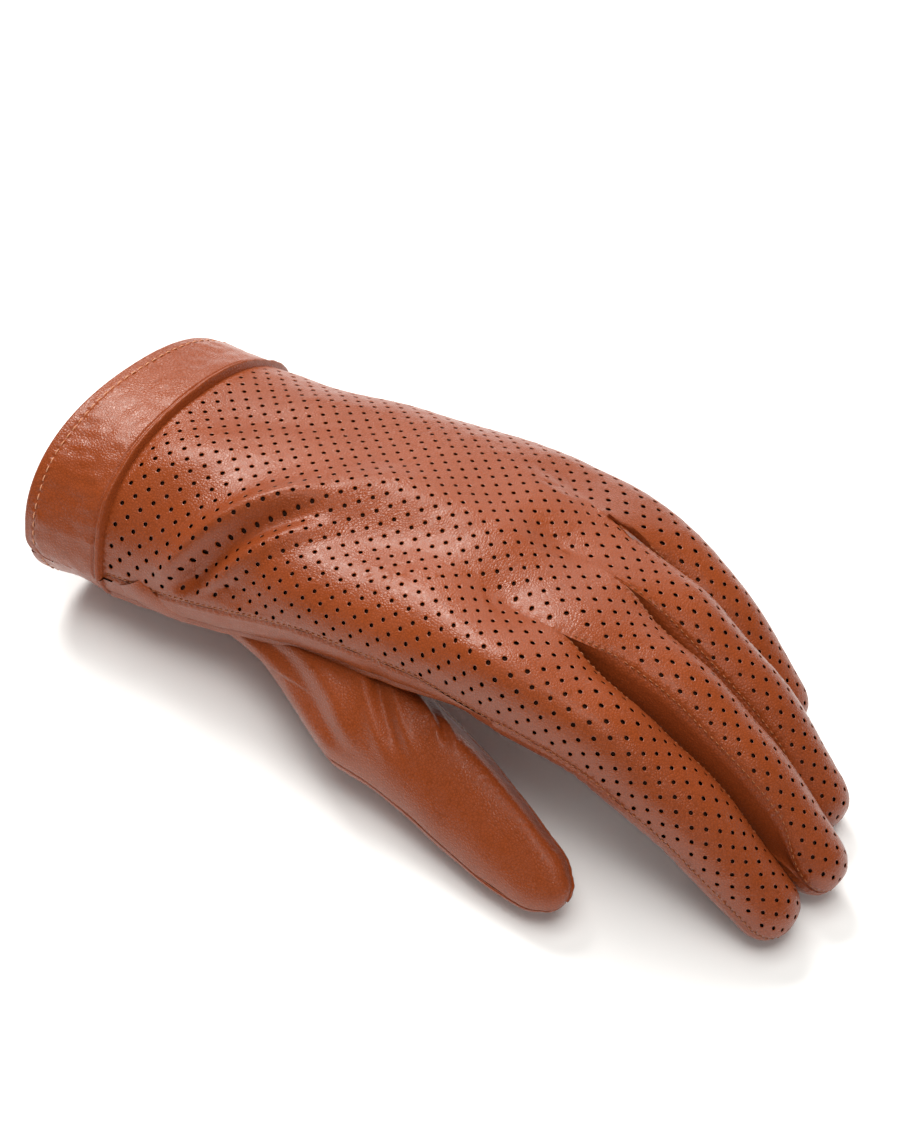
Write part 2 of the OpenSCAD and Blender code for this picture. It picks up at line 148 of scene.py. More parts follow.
def angle_at(arc, ratio):
    """Ring angle of a place at that arc length from the top, per unit half width."""
    f = ratio_place(ratio)
    i = f.astype(int)
    g = np.clip((arc + ARC_MAX) / (2 * ARC_MAX) * (len(ARC_GRID) - 1), 0, len(ARC_GRID) - 1.001)
    j = g.astype(int)
    u, t = f - i, g - j
    A = ANGLE_OF_ARC
    return ((A[i, j] * (1 - t) + A[i, j + 1] * t) * (1 - u)
            + (A[i + 1, j] * (1 - t) + A[i + 1, j + 1] * t) * u)


def arc_at(angle, ratio):
    f = ratio_place(ratio)
    i = int(f)
    a, b = (np.interp(angle, ANGLES, ARCS[k]) for k in (i, i + 1))
    return float(a + (b - a) * (f - i))


# fullness on the thumb side near the wrist, in mm, and the degrees it spreads round the ring
FLARE_AT, FLARE_SPREAD = 118, 42
FLARE_X = np.arange(-10, 90, 0.5)
FLARE = spline(FLARE_X, (-10, 0, 12, 24, 36, 48, 60, 74, 90), (5.6, 5.8, 6.6, 7.6, 7.2, 5.0, 2.0, 0.2, 0))


def ring_point(x, t, off=0.0):
    """Place on the hand's ring at x; t is the angle from the top, - towards the thumb; off is mm outward."""
    yc, zc, w, h, sh = section(x)
    y, z = ring_unit(t, 1.0)
    y, z = y * w, z * h
    r = np.hypot(y, z)
    low = (np.degrees(t) + FLARE_AT + 360) % 360
    low = np.minimum(low, 360 - low)
    out = off + np.interp(x, FLARE_X, FLARE) * np.exp(-(low / FLARE_SPREAD) ** 2)
    k = 1 + out / r
    return np.stack([x + sh * y / w, yc + y * k, zc + z * k], -1)


def seam_deg(x):
    """Angle from the top of the back panel's side seam; it wraps further round the wrist."""
    return 91 + 13 * fade((x - 30) / 50)


def palm_deg(x):
    """Angle from the top of the palm panel's thumb-side edge."""
    return 118 + 7 * fade((x - 40) / 45)


def hand_surface(x, v, side=1):
    """Place on the hand, x along it and v mm round it from the top line (side 1) or bottom line (-1)."""
    x, v = np.broadcast_arrays(np.asarray(x, float), np.asarray(v, float))
    yc, zc, w, h, sh = section(x)
    a = angle_at(v / w, h / w)
    t = a if side > 0 else np.where(a < 0, -math.pi - a, math.pi - a)
    return ring_point(x, t)


# ---- fingers

FINGERS = {
    "index": dict(root=(124.2, -32.8, -1.3), yaw=1.5, lean=0.5, L=(23, 27, 29.5),
                  w=(10.7, 10.2, 9.3, 7.6), h=(11.0, 10.5, 9.5, 7.5)),
    "middle": dict(root=(129, -11.3, 0.2), yaw=-1.5, lean=-3.5, L=(24, 28, 26.5),
                   w=(10.3, 9.6, 8.7, 7.1), h=(10.8, 10.3, 9.3, 7.3)),
    "ring": dict(root=(126, 10.2, -0.8), yaw=-4.5, lean=-4.5, L=(21, 26, 25.7),
                 w=(10.2, 9.4, 8.5, 6.9), h=(10.6, 10.0, 9.1, 7.1)),
    "little": dict(root=(117.8, 31.2, -2.7), yaw=-7, lean=-4, L=(16, 21, 21),
                   w=(9.3, 8.7, 7.9, 6.4), h=(9.6, 9.0, 8.3, 6.5)),
}
ORDER = ["index", "middle", "ring", "little"]
BENDS = (16, 18, 11)
CAP = 7.0       # length of the rounded fingertip
CAP_BACK = 2.0  # it starts this far before the last ring
CAP_ARC = math.pi / 2 * 0.93    # length over a rounded tip, per mm of its own length
LINE_STEP = 0.25                # spacing of places on a centre line
SOFT = 9.0      # half length over which a joint's bend is spread
CROTCH_X = (129.5, 131.5, 121.0)   # index-middle, middle-ring, ring-little
# how far each web stands above the finger's side
CROTCH_LIFT = ((0, -0.9, 3.4), (0, 0.2, 4.6), (-0.6, -3.6, 6.2))
GUSSET = 38.0   # degrees above and below the side line where the gusset's seams run


def bent_line(s, pitch, hold):
    """Pitch in radians and places of a centre line that bends downward, straight ahead up to s = hold."""
    th = np.radians(pitch)
    d = np.stack([np.cos(th), 0 * th, -np.sin(th)], -1)
    p = np.concatenate([[[0, 0, 0]], np.cumsum((d[1:] + d[:-1]) / 2 * LINE_STEP, 0)])
    return th, p - p[np.searchsorted(s, hold)] + np.array([hold, 0, 0])


def centre(f, s):
    """Places on a finger's centre line, in its own frame."""
    return np.stack([np.interp(s, f["s"], f["p"][:, k]) for k in range(3)], -1)


def placed(f, p):
    """From a finger's own frame to the hand's."""
    return p @ f["R"].T + np.array(f["root"])


def beside(f, c, th, y, z):
    """Hand-frame place y beside and z above the centre line's place c, where its pitch is th."""
    up = np.stack([np.sin(th), 0 * th, np.cos(th)], -1)
    return placed(f, c + y[..., None] * np.array([0, 1, 0]) + z[..., None] * up)


for f in FINGERS.values():
    stations = np.cumsum([0] + list(f["L"]))
    f["end"] = sum(f["L"])
    f["s"] = np.arange(-40, f["end"] + 12, LINE_STEP)
    pitch = sum(b * smooth((f["s"] - j + SOFT) / (2 * SOFT)) for b, j in zip(BENDS, stations))
    f["th"], f["p"] = bent_line(f["s"], pitch, -SOFT)
    f["R"] = rot("z", f["yaw"]) @ rot("x", f["lean"])
    f["at"] = np.arange(0, f["end"] + 0.1, 0.1)
    f["half_w"] = spline(f["at"], stations, f["w"])
    f["half_h"] = spline(f["at"], stations, f["h"])
    # rounded tip: the surface place runs on past the last ring
    f["cap_len"] = CAP * CAP_ARC
    f["last"] = f["root"][0] + f["end"] - CAP_BACK + f["cap_len"] - 0.25


def finger_size(f, g):
    """Place along the centre line and half sizes at surface distance g from the root."""
    cap0 = f["end"] - CAP_BACK
    phi = np.clip((g - cap0) / f["cap_len"], 0, 1) * math.pi / 2
    s = np.where(g < cap0, g, cap0 + CAP * np.sin(phi))
    k = np.cos(phi) ** 0.9
    w = np.interp(s, f["at"], f["half_w"])
    h = np.interp(s, f["at"], f["half_h"])
    return s, np.maximum(w * k, 0.02), np.maximum(h * k, 0.02)


def finger_surface(name, g, a):
    """Place on a finger: g along it, a in degrees round it, 0 on the little-finger side, 90 on top."""
    f = FINGERS[name]
    g, a = np.broadcast_arrays(np.asarray(g, float), np.asarray(a, float))
    s, w, h = finger_size(f, g)
    th = np.interp(s, f["s"], f["th"])
    ar = np.radians(a)
    y, z = w * spow(np.cos(ar), 2 / 2.15), h * spow(np.sin(ar), 2 / 2.15)
    return beside(f, centre(f, s), th, y, z)


def seams(name, g, side=1):
    """Angles of the back's (side 1) or palm's (-1) little-finger and thumb-side edges along a finger."""
    t = smooth((g - (FINGERS[name]["end"] - 18)) / 16)      # the seams close in towards the fingertip
    half = side * (GUSSET * (1 - t) + 4 * t)
    lo = half if name != "little" else -12 + 0 * t
    hi = 180 - half if name != "index" else 192 - 4 * t
    return lo, hi


def back_width(name, g):
    """Width in mm of the back panel round the finger."""
    f = FINGERS[name]
    s, w, h = finger_size(f, g)
    lo, hi = seams(name, g)
    return np.radians(hi - lo) * (w + h) / 2 * 1.02


# ---- lanes: back of the hand into the fingers

def hand_edges(x, side):
    """Arc places of the panel's thumb-side and little-finger-side edges on the hand."""
    _, _, w, h, _ = section(x)
    rad = -seam_deg(x) if side > 0 else palm_deg(x) - 180
    uln = (96.0 if side > 0 else 84.0) + 0 * w
    ratio = h / w
    lo = np.array([arc_at(math.radians(a), r) for a, r in zip(rad, ratio)]) * w
    hi = np.array([arc_at(math.radians(a), r) for a, r in zip(uln, ratio)]) * w
    return lo, hi


EDGE_X = np.linspace(-5, 140, 146)
EDGES = {side: hand_edges(EDGE_X, side) for side in (1, -1)}


def edge(x, side, k):
    return np.interp(x, EDGE_X, EDGES[side][k])


LANE_W = np.array([float(back_width(n, 0.0)) for n in ORDER])
FRACS = np.concatenate([[0], np.cumsum(LANE_W)]) / LANE_W.sum()


def lane_raw(i, x, q, side):
    """Lane of finger i without the crotch joins; q runs -1 (thumb side) to 1 (little-finger side)."""
    name = ORDER[i]
    lo, hi = edge(x, side, 0), edge(x, side, 1)
    fr = FRACS[i] + (q + 1) / 2 * (FRACS[i + 1] - FRACS[i])
    H = hand_surface(x, lo + fr * (hi - lo), side)
    g = x - FINGERS[name]["root"][0]
    a_lo, a_hi = seams(name, g, side)
    if side < 0:
        a_hi = a_hi - 360
    a = (a_lo + a_hi) / 2 - q * (a_hi - a_lo) / 2
    G = finger_surface(name, g, a)
    m = smooth((g + 24) / 27)[..., None]
    return H * (1 - m) + G * m


REACH = 15.0


def lane(i, x, q, side=1):
    x, q = np.broadcast_arrays(np.asarray(x, float), np.asarray(q, float))
    P = lane_raw(i, x, q, side)
    for k, s in ((i - 1, -1), (i, 1)):
        if k < 0 or k > 2:
            continue
        cx = CROTCH_X[k]
        xe = np.minimum(x, cx)
        a = lane_raw(k, xe, 1 + 0 * q, side)
        b = lane_raw(k + 1, xe, -1 + 0 * q, side)
        own = a if s > 0 else b
        c = np.clip(q * s, 0, 1) ** 3 * fade((x - cx) / REACH)
        P = P + ((a + b) / 2 - own) * c[..., None]
        if side > 0:
            c = np.clip(q * s, 0, 1) ** 2 * fade(np.abs(x - cx) / 20)
            P = P + c[..., None] * np.array(CROTCH_LIFT[k])
    return P


def gusset(i, s, x, t):
    """Side of finger i (s 1: little-finger side, -1: thumb side); t 0 at the back's seam, 1 at the palm."""
    x, t = np.broadcast_arrays(np.asarray(x, float), np.asarray(t, float))

    def side_at(j, sg, xx):
        name = ORDER[j]
        g = xx - FINGERS[name]["root"][0]
        top, bot = (seams(name, g, face)[0 if sg > 0 else 1] for face in (1, -1))
        P = finger_surface(name, g, top + (bot - top) * t)
        e0, e1 = (lane(j, xx, sg + 0 * t, face) - finger_surface(name, g, a + 0 * t)
                  for face, a in ((1, top), (-1, bot)))
        k = np.clip(t, 0, 1)
        return P + e0 * ((1 - k) ** 1.5)[..., None] + e1 * (k ** 1.5)[..., None]

    k = i if s > 0 else i - 1
    cx = CROTCH_X[k]
    P = side_at(i, s, x)
    xe = cx + 0 * x
    own = side_at(i, s, xe)
    mid = (side_at(k, 1, xe) + side_at(k + 1, -1, xe)) / 2
    return P + (mid - own) * fade((x - cx) / REACH)[..., None]


# ---- thumb

THUMB = dict(root=np.array([62, -43, -16.0]), R=rot("z", 3) @ rot("x", -30) @ rot("y", 16), fold=48, bend=5)
TS = np.array([-10, 0, 14, 27, 44.6, 48, 59, 68, 77, 85, 88])
TW = np.array([12.5, 14.5, 17.2, 16.6, 14.4, 13.9, 13.1, 12.0, 10.0, 7.4, 6.2])
TH = np.array([9.5, 12.0, 13.2, 13.0, 12.0, 11.8, 11.2, 10.4, 9.2, 7.4, 6.4])
# taken off the outer side's half width
SLIM = np.array([4.0, 6.0, 8.6, 8.8, 8.2, 8.0, 7.8, 7.2, 5.8, 3.4, 2.2])
THUMB["s"] = np.arange(-20, 96, LINE_STEP)
THUMB["th"], THUMB["p"] = bent_line(
    THUMB["s"], THUMB["bend"] * smooth((THUMB["s"] - THUMB["fold"] + 10) / 20), 0)
THUMB_LIFT = np.array([0, 2.5, 4.5])     # how far its root is drawn up towards the palm
T_END = 83.5    # where its rounded tip starts
T_CAP = 7.5
THUMB_AT = np.arange(-30, 88.1, 0.1)
THUMB_W = spline(THUMB_AT, TS, TW)
THUMB_H = spline(THUMB_AT, TS, TH)
THUMB_SLIM = spline(THUMB_AT, TS, SLIM)


def thumb_surface(g, a):
    g, a = np.broadcast_arrays(np.asarray(g, float), np.asarray(a, float))
    phi = np.clip((g - T_END) / (T_CAP * CAP_ARC), 0, 1) * math.pi / 2
    s = np.where(g < T_END, g, T_END + T_CAP * np.sin(phi))
    k = np.cos(phi) ** 0.9
    w = np.maximum(np.interp(s, THUMB_AT, THUMB_W) * k, 0.02)
    h = np.maximum(np.interp(s, THUMB_AT, THUMB_H) * k, 0.02)
    th = np.interp(s, THUMB["s"], THUMB["th"])
    c = centre(THUMB, s) + fade((s - 25) / 62)[..., None] * THUMB_LIFT
    ar = np.radians(a)
    outer = np.where(np.cos(ar) < 0, np.interp(s, THUMB_AT, THUMB_SLIM) * k, -0.8 * k)
    y, z = (w - outer) * spow(np.cos(ar), 2 / 2.1), h * spow(np.sin(ar), 2 / 2.1)
    return beside(THUMB, c, th, y, z)


# ---- mesh building


def unit(v):
    return v / np.maximum(np.linalg.norm(v, axis=-1, keepdims=True), 1e-9)


def with_relief(fn, relief, x, q, ex=0.05, eq=0.004):
    """Points and normals of a surface with its relief; fn(x, q) in the hand frame, mm."""
    along = fn(x + ex, q) - fn(x - ex, q)
    over = fn(x, q + eq) - fn(x, q - eq)
    n = unit(np.cross(along, over))
    if relief is None:
        return fn(x, q), n
    along = along + (relief(x + ex, q) - relief(x - ex, q))[..., None] * n
    over = over + (relief(x, q + eq) - relief(x, q - eq))[..., None] * n
    return fn(x, q) + relief(x, q)[..., None] * n, unit(np.cross(along, over))


class Piece:
    """Collects vertices, normals and faces of one visual object."""

    def __init__(self):
        self.v, self.n, self.f, self.m, self.uv = [], [], [], [], []
        self.count = 0

    def add(self, v, n, faces, mat, uv=None):
        v = np.asarray(v, float).reshape(-1, 3)
        n = np.asarray(n, float).reshape(-1, 3)
        uv = np.zeros((len(v), 2)) if uv is None else np.asarray(uv, float).reshape(-1, 2)
        self.v.append(v)
        self.n.append(n)
        self.uv.append(uv)
        self.f += [tuple(int(c) + self.count for c in face) for face in faces]
        self.m += [mat] * len(faces)
        self.count += len(v)

    def grid(self, v, n, mat, uv=None, flip=False):
        a, b = v.shape[:2]
        idx = np.arange(a * b).reshape(a, b)
        quads = np.stack([idx[:-1, :-1], idx[1:, :-1], idx[1:, 1:], idx[:-1, 1:]], -1).reshape(-1, 4)
        if flip:
            quads = quads[:, ::-1]
        self.add(v, n, quads.tolist(), mat, uv)

    def build(self, name, mats):
        v = to_row(np.concatenate(self.v)) / 1000
        n = unit(np.concatenate(self.n) @ HAND_R.T)
        me = bpy.data.meshes.new(name)
        me.from_pydata(v.tolist(), [], self.f)
        for m in mats:
            me.materials.append(m)
        me.polygons.foreach_set("material_index", self.m)
        me.polygons.foreach_set("use_smooth", [True] * len(self.f))
        uv = np.concatenate(self.uv)
        flat = np.concatenate([uv, np.zeros((len(uv), 1))], 1)
        at = me.attributes.new("flat", "FLOAT_VECTOR", "POINT")
        at.data.foreach_set("vector", flat.ravel().astype(np.float32))
        me.update()
        me.normals_split_custom_set_from_vertices(n.tolist())
        ob = bpy.data.objects.new(name, me)
        bpy.context.scene.collection.objects.link(ob)
        return ob


# ---- materials


def node(nt, kind, inputs, **settings):
    """Adds a shader node; inputs gives sockets a constant each, or the output that feeds them."""
    n = nt.nodes.new(kind)
    for key, value in settings.items():
        setattr(n, key, value)
    for key, value in inputs.items():
        if isinstance(value, bpy.types.NodeSocket):
            nt.links.new(value, n.inputs[key])
        else:
            n.inputs[key].default_value = value
    return n


def leather(name, base, dark, rough=0.36, coat=0.16):
    """Leather with patchy colour, fine cells of grain with painted shade in their creases and a thin soft
    finish.
    """
    m = bpy.data.materials.new(name)
    m.use_nodes = True
    nt = m.node_tree
    nt.nodes.clear()
    place = node(nt, "ShaderNodeTexCoord", {}).outputs["Object"]
    big = node(nt, "ShaderNodeTexNoise", {"Vector": place, "Scale": 28, "Detail": 4}).outputs[0]
    mid = node(nt, "ShaderNodeTexNoise", {"Vector": place, "Scale": 240, "Detail": 5}).outputs[0]
    cell = node(nt, "ShaderNodeTexVoronoi", {"Vector": place, "Scale": 1400},
                feature="DISTANCE_TO_EDGE").outputs["Distance"]

    ramp = node(nt, "ShaderNodeMapRange", {"Value": big, "From Min": 0.3, "From Max": 0.7})
    share = node(nt, "ShaderNodeMath", {0: ramp.outputs[0], 1: 0.35}, operation="MULTIPLY")
    mix = node(nt, "ShaderNodeMix", {"A": (*base, 1), "B": (*dark, 1), "Factor": share.outputs[0]},
               data_type="RGBA")
    # fine grain: painted shade darkens the creases between cells
    crease_shade = node(nt, "ShaderNodeMapRange", {"Value": cell, "From Min": 0.0, "From Max": 0.12,
                                             "To Min": 0.72, "To Max": 1.0})
    colour = node(nt, "ShaderNodeMix", {"Factor": 1.0, "A": mix.outputs["Result"], "B": crease_shade.outputs[0]},
                  data_type="RGBA", blend_type="MULTIPLY")
    shine = node(nt, "ShaderNodeMapRange", {"Value": mid, "From Min": 0.3, "From Max": 0.7,
                                            "To Min": rough - 0.06, "To Max": rough + 0.08})
    soft = node(nt, "ShaderNodeMath", {0: mid, 1: 0.4}, operation="MULTIPLY")
    height = node(nt, "ShaderNodeMath", {0: cell, 1: 2.6, 2: soft.outputs[0]}, operation="MULTIPLY_ADD")
    bump = node(nt, "ShaderNodeBump", {"Strength": 0.32, "Distance": 0.00025, "Height": height.outputs[0]})
    shader = node(nt, "ShaderNodeBsdfPrincipled", {
        "Base Color": colour.outputs["Result"], "Roughness": shine.outputs[0], "Normal": bump.outputs[0],
        "Specular IOR Level": 0.42, "Coat Weight": coat, "Coat Roughness": 0.24})
    node(nt, "ShaderNodeOutputMaterial", {0: shader.outputs[0]})
    return m


TAN = (0.275, 0.054, 0.011)
TAN_D = (0.190, 0.034, 0.008)
M_PERF = leather("perforated_leather", TAN, TAN_D)
M_TAN = leather("tan_leather", TAN, TAN_D)
M_GUS = leather("gusset_leather", (0.240, 0.046, 0.010), TAN_D)
M_FACE = leather("facing_leather", (0.33, 0.12, 0.05), (0.25, 0.08, 0.03), rough=0.6, coat=0.0)
M_IN = leather("inside_leather", (0.09, 0.04, 0.02), (0.06, 0.03, 0.015), rough=0.9, coat=0.0)


def plain(name, col, rough):
    m = bpy.data.materials.new(name)
    m.use_nodes = True
    b = m.node_tree.nodes["Principled BSDF"]
    b.inputs["Base Color"].default_value = (*col, 1)
    b.inputs["Roughness"].default_value = rough
    return m


# near-black discs that close each hole at the leather's underside: painted shade of the glove's inside seen
# through the holes
M_HOLE_SHADE = plain("hole_painted_shade", (0.030, 0.008, 0.003), 0.9)
M_EDGE = plain("cut_edge", (0.22, 0.048, 0.012), 0.7)
M_THREAD = plain("thread", (0.30, 0.095, 0.035), 0.55)
M_THREAD_LIGHT = plain("hem_thread", (0.55, 0.24, 0.13), 0.6)


# ---- the perforated back

PITCH = 3.25        # between neighbouring holes
HOLE_R = 0.49
LIP_R = 0.74        # where the leather starts to turn down into a hole
SEG = 10
CHUNK = 4000        # points tested at a time
RING = np.linspace(0, 2 * np.pi, SEG, endpoint=False)
THICK = 0.9         # leather
HALF = PITCH / math.sqrt(2)     # between staggered rows
STITCH = 1.7        # length of one stitch, and of one pucker beside it
SEAM_MARGIN = 1.6   # holes keep this far from a sewn edge


def between_rows(n):
    """Place midway between two rows of holes, where a panel may be divided."""
    return (n + 0.5) * HALF


def lattice(x0, x1, v0, v1):
    """Staggered rows of holes, the same all over the flat panel, and the places midway between them."""
    i = np.arange(math.floor(x0 / HALF) - 1, math.ceil(x1 / HALF) + 2)
    j = np.arange(math.floor(v0 / HALF) - 1, math.ceil(v1 / HALF) + 2)
    I, J = np.meshgrid(i, j, indexing="ij")
    keep = (I + J) % 2 == 0
    return np.stack([I[keep] * HALF, J[keep] * HALF], -1), np.stack([I[~keep] * HALF, J[~keep] * HALF], -1)


def inside(poly, pts):
    ends = np.roll(poly, -1, 0)
    tall = poly[:, 1] != ends[:, 1]
    (x0, y0), (x1, y1) = poly[tall].T, ends[tall].T
    out = []
    for part in np.array_split(pts, max(1, len(pts) // CHUNK)):
        x, y = part[:, :1], part[:, 1:]
        hit = ((y0 > y) != (y1 > y)) & (x < (x1 - x0) * (y - y0) / (y1 - y0) + x0)
        out.append(hit.sum(1) % 2 == 1)
    return np.concatenate(out)


def edge_distance(poly, pts, pick):
    if not pick.any():
        return np.full(len(pts), 1e9)
    a, ab = poly[pick], (np.roll(poly, -1, 0) - poly)[pick]
    size = np.maximum((ab ** 2).sum(1), 1e-12)
    out = []
    for part in np.array_split(pts, max(1, len(pts) // CHUNK)):
        gap = part[:, None] - a
        t = np.clip((gap * ab).sum(-1) / size, 0, 1)
        out.append(np.sqrt(((gap - t[..., None] * ab) ** 2).sum(-1).min(1)))
    return np.concatenate(out)


def clear_of(holes, pts):
    """The points that keep away from every hole's lip."""
    if not len(holes) or not len(pts):
        return pts
    return pts[np.array([np.min(np.hypot(*(holes - c).T)) for c in pts]) > LIP_R + 0.15]


def perforated(poly, sewn):
    """Triangulates a flat outline with its holes; sewn marks the outline's edges that are seams."""
    poly = np.asarray(poly, float)
    sewn = np.asarray(sewn, bool)
    every = np.ones(len(poly), bool)
    holes, mids = lattice(poly[:, 0].min(), poly[:, 0].max(), poly[:, 1].min(), poly[:, 1].max())
    holes = holes[inside(poly, holes)]
    holes = holes[edge_distance(poly, holes, sewn) > SEAM_MARGIN]
    holes = holes[edge_distance(poly, holes, ~sewn) > LIP_R + 0.1]
    pts = [tuple(p) for p in poly]
    edges = [(k, (k + 1) % len(poly)) for k in range(len(poly))]
    first = []
    for c in holes:
        first.append(len(pts))
        edges += [(first[-1] + k, first[-1] + (k + 1) % SEG) for k in range(SEG)]
        for r in (HOLE_R, LIP_R):
            pts += [(c[0] + r * math.cos(t), c[1] + r * math.sin(t)) for t in RING]
    around = [holes + [HALF * 0.5 * a, HALF * 0.5 * b] for a in (1, -1) for b in (1, -1)]
    fill = np.concatenate([mids] + around) if len(holes) else mids
    xs = np.arange(poly[:, 0].min(), poly[:, 0].max(), 0.8)
    vs = np.arange(poly[:, 1].min(), poly[:, 1].max(), 0.8)
    cloud = np.stack(np.meshgrid(xs, vs, indexing="ij"), -1).reshape(-1, 2)
    cloud = cloud[inside(poly, cloud)]
    near = edge_distance(poly, cloud, sewn)
    band = cloud[(near < SEAM_MARGIN - 0.1) & (near > 0.3)]
    fill = fill[inside(poly, fill)]
    fill = fill[edge_distance(poly, fill, every) > 0.5]
    fill = fill[np.unique(np.round(fill, 3), axis=0, return_index=True)[1]]
    band, fill = clear_of(holes, band), clear_of(holes, fill)
    pts += [tuple(p) for p in fill] + [tuple(p) for p in band]
    out, _, faces, orig, _, _ = delaunay_2d_cdt([Vector(p) for p in pts], edges, [], 0, 1e-5)
    out = np.array([tuple(p) for p in out])
    where = {o: new for new, olds in enumerate(orig) for o in olds}
    rings = np.array([[where[f + k] for k in range(SEG)] for f in first], int).reshape(-1, SEG)
    tri = np.array([f for f in faces if len(f) == 3])
    owner = np.full(len(out), -1)
    owner[rings.ravel()] = np.repeat(np.arange(len(rings)), SEG)
    o = owner[tri]
    in_hole = (o[:, 0] >= 0) & (o[:, 0] == o[:, 1]) & (o[:, 1] == o[:, 2])
    tri = tri[inside(poly, out[tri].mean(1)) & ~in_hole]
    a, b, c = out[tri[:, 0]], out[tri[:, 1]], out[tri[:, 2]]
    turn = (b - a)[:, 0] * (c - a)[:, 1] - (b - a)[:, 1] * (c - a)[:, 0]
    tri[turn < 0] = tri[turn < 0][:, ::-1]
    outline = [where[k] for k in range(len(poly))]
    return out, tri, holes, rings, outline


def add_perforated(piece, poly, sewn, surface, relief):
    """surface(x, v) and relief(x, v) are in flat coordinates."""
    pts, tri, holes, rings, outline = perforated(poly, sewn)
    x, v = pts[:, 0], pts[:, 1]
    P, N = with_relief(surface, relief, x, v, eq=0.05)
    top = P.copy()
    nn = N.copy()
    ids = rings.ravel()
    cen = np.repeat(np.arange(len(holes)), SEG)
    C, _ = with_relief(surface, relief, holes[:, 0], holes[:, 1], eq=0.05)
    inward = C[cen] - P[ids]
    inward -= (inward * N[ids]).sum(1, keepdims=True) * N[ids]
    inward = unit(inward)
    top[ids] = P[ids] - 0.12 * N[ids]
    nn[ids] = N[ids] * 0.75 + inward * 0.66
    piece.add(top, nn, tri.tolist(), 0, pts)
    low = P[ids] - (THICK - 0.05) * N[ids]
    n = len(ids)
    step = np.arange(n)
    after = step - step % SEG + (step + 1) % SEG
    walls = np.stack([after, step, n + step, n + after], -1)
    piece.add(np.concatenate([top[ids], low]), np.concatenate([inward, inward]), walls.tolist(), 3)
    # each hole is closed at the leather's underside by a near-black disc: painted shade
    piece.add(low, N[ids], step.reshape(-1, SEG).tolist(), 1)
    m = len(outline)
    edge_top = P[outline]
    edge_low = edge_top - THICK * N[outline]
    side = np.cross(np.roll(edge_top, -1, 0) - np.roll(edge_top, 1, 0), N[outline])
    rim = [(k, m + k, m + (k + 1) % m, (k + 1) % m) for k in range(m) if sewn[k]]
    piece.add(np.concatenate([edge_top, edge_low]), np.concatenate([side, side]), rim, 3)


# ---- flat pattern of the back

FLAT_W = LANE_W.sum()
LANE_C = np.cumsum(LANE_W) - LANE_W / 2 - FLAT_W / 2
CUFF_X = 20.4
FRONT = [between_rows(round(x / HALF - 0.5)) for x in (125, 125, 117.6, 117.6)]    # hand ends
CUTS = []
for name in ORDER:
    r, (l1, l2, l3) = FINGERS[name]["root"][0], FINGERS[name]["L"]
    CUTS.append([between_rows(round((r + g) / HALF - 0.5)) for g in (l1 * 0.5 + 1.5, l1 + l2 * 0.5)])


def across(x):
    """Thumb-side edge, little-finger-side edge and flat width of the back panel on the hand at x."""
    lo, hi = edge(x, 1, 0), edge(x, 1, 1)
    t = smooth((x - 84) / 32)
    return lo, hi, (hi - lo) * (1 - t) + FLAT_W * t


def hand_v(x, share):
    return (share - 0.5) * across(x)[2]


def hand_back(x, v):
    share = v / across(x)[2] + 0.5
    out = np.zeros(np.shape(x) + (3,))
    for i in range(4):
        pick = (share >= FRACS[i]) & (share < FRACS[i + 1])
        if i == 0:
            pick |= share < 0
        if i == 3:
            pick |= share >= 1
        if pick.any():
            q = (share[pick] - FRACS[i]) / (FRACS[i + 1] - FRACS[i]) * 2 - 1
            out[pick] = lane(i, x[pick], q, 1)
    return out


def lane_width(i, x):
    g = x - FINGERS[ORDER[i]]["root"][0]
    t = smooth(g / 12)
    return LANE_W[i] * (1 - t) + back_width(ORDER[i], g) * t


def finger_back(i):
    def f(x, v):
        q = (v - LANE_C[i]) / (lane_width(i, x) / 2)
        return lane(i, x, np.clip(q, -1.0, 1.0), 1)
    return f


# ---- folds, wrinkles and puckers


def bumps(x, v, spots):
    """Soft mounds and hollows: centre, two half widths, height, turn in degrees."""
    d = 0 * x
    for cx, cv, rx, rv, h, turn in spots:
        c, s = math.cos(math.radians(turn)), math.sin(math.radians(turn))
        a = ((x - cx) * c + (v - cv) * s) / rx
        b = (-(x - cx) * s + (v - cv) * c) / rv
        d = d + h * np.exp(-(a * a + b * b))
    return d


def creases(x, v, lines):
    """Bent creases: start, end, bow, width, depth; the depth fades at both ends."""
    d = 0 * x
    for x0, v0, x1, v1, bow, wide, deep in lines:
        dx, dv = x1 - x0, v1 - v0
        n = math.hypot(dx, dv)
        t = ((x - x0) * dx + (v - v0) * dv) / (n * n)
        off = (-(x - x0) * dv + (v - v0) * dx) / n - bow * 4 * t * (1 - t)
        ends = smooth((t + 0.02) / 0.3) * smooth((1.02 - t) / 0.3)
        r = off / wide
        d = d - deep * ends * np.exp(-r * r) + deep * 0.55 * ends * np.exp(-((np.abs(r) - 1.9) / 0.9) ** 2)
    return d


def ripple(x, v, size, seed, waves=7):
    """Soft irregular waves about size mm long."""
    rng = np.random.default_rng(seed)
    d = 0 * x
    for _ in range(waves):
        a, k, ph = rng.uniform(0, 2 * np.pi), rng.uniform(0.7, 1.5), rng.uniform(0, 2 * np.pi)
        d = d + np.sin(2 * np.pi * k / size * (x * math.cos(a) + v * math.sin(a)) + ph)
    return d / waves


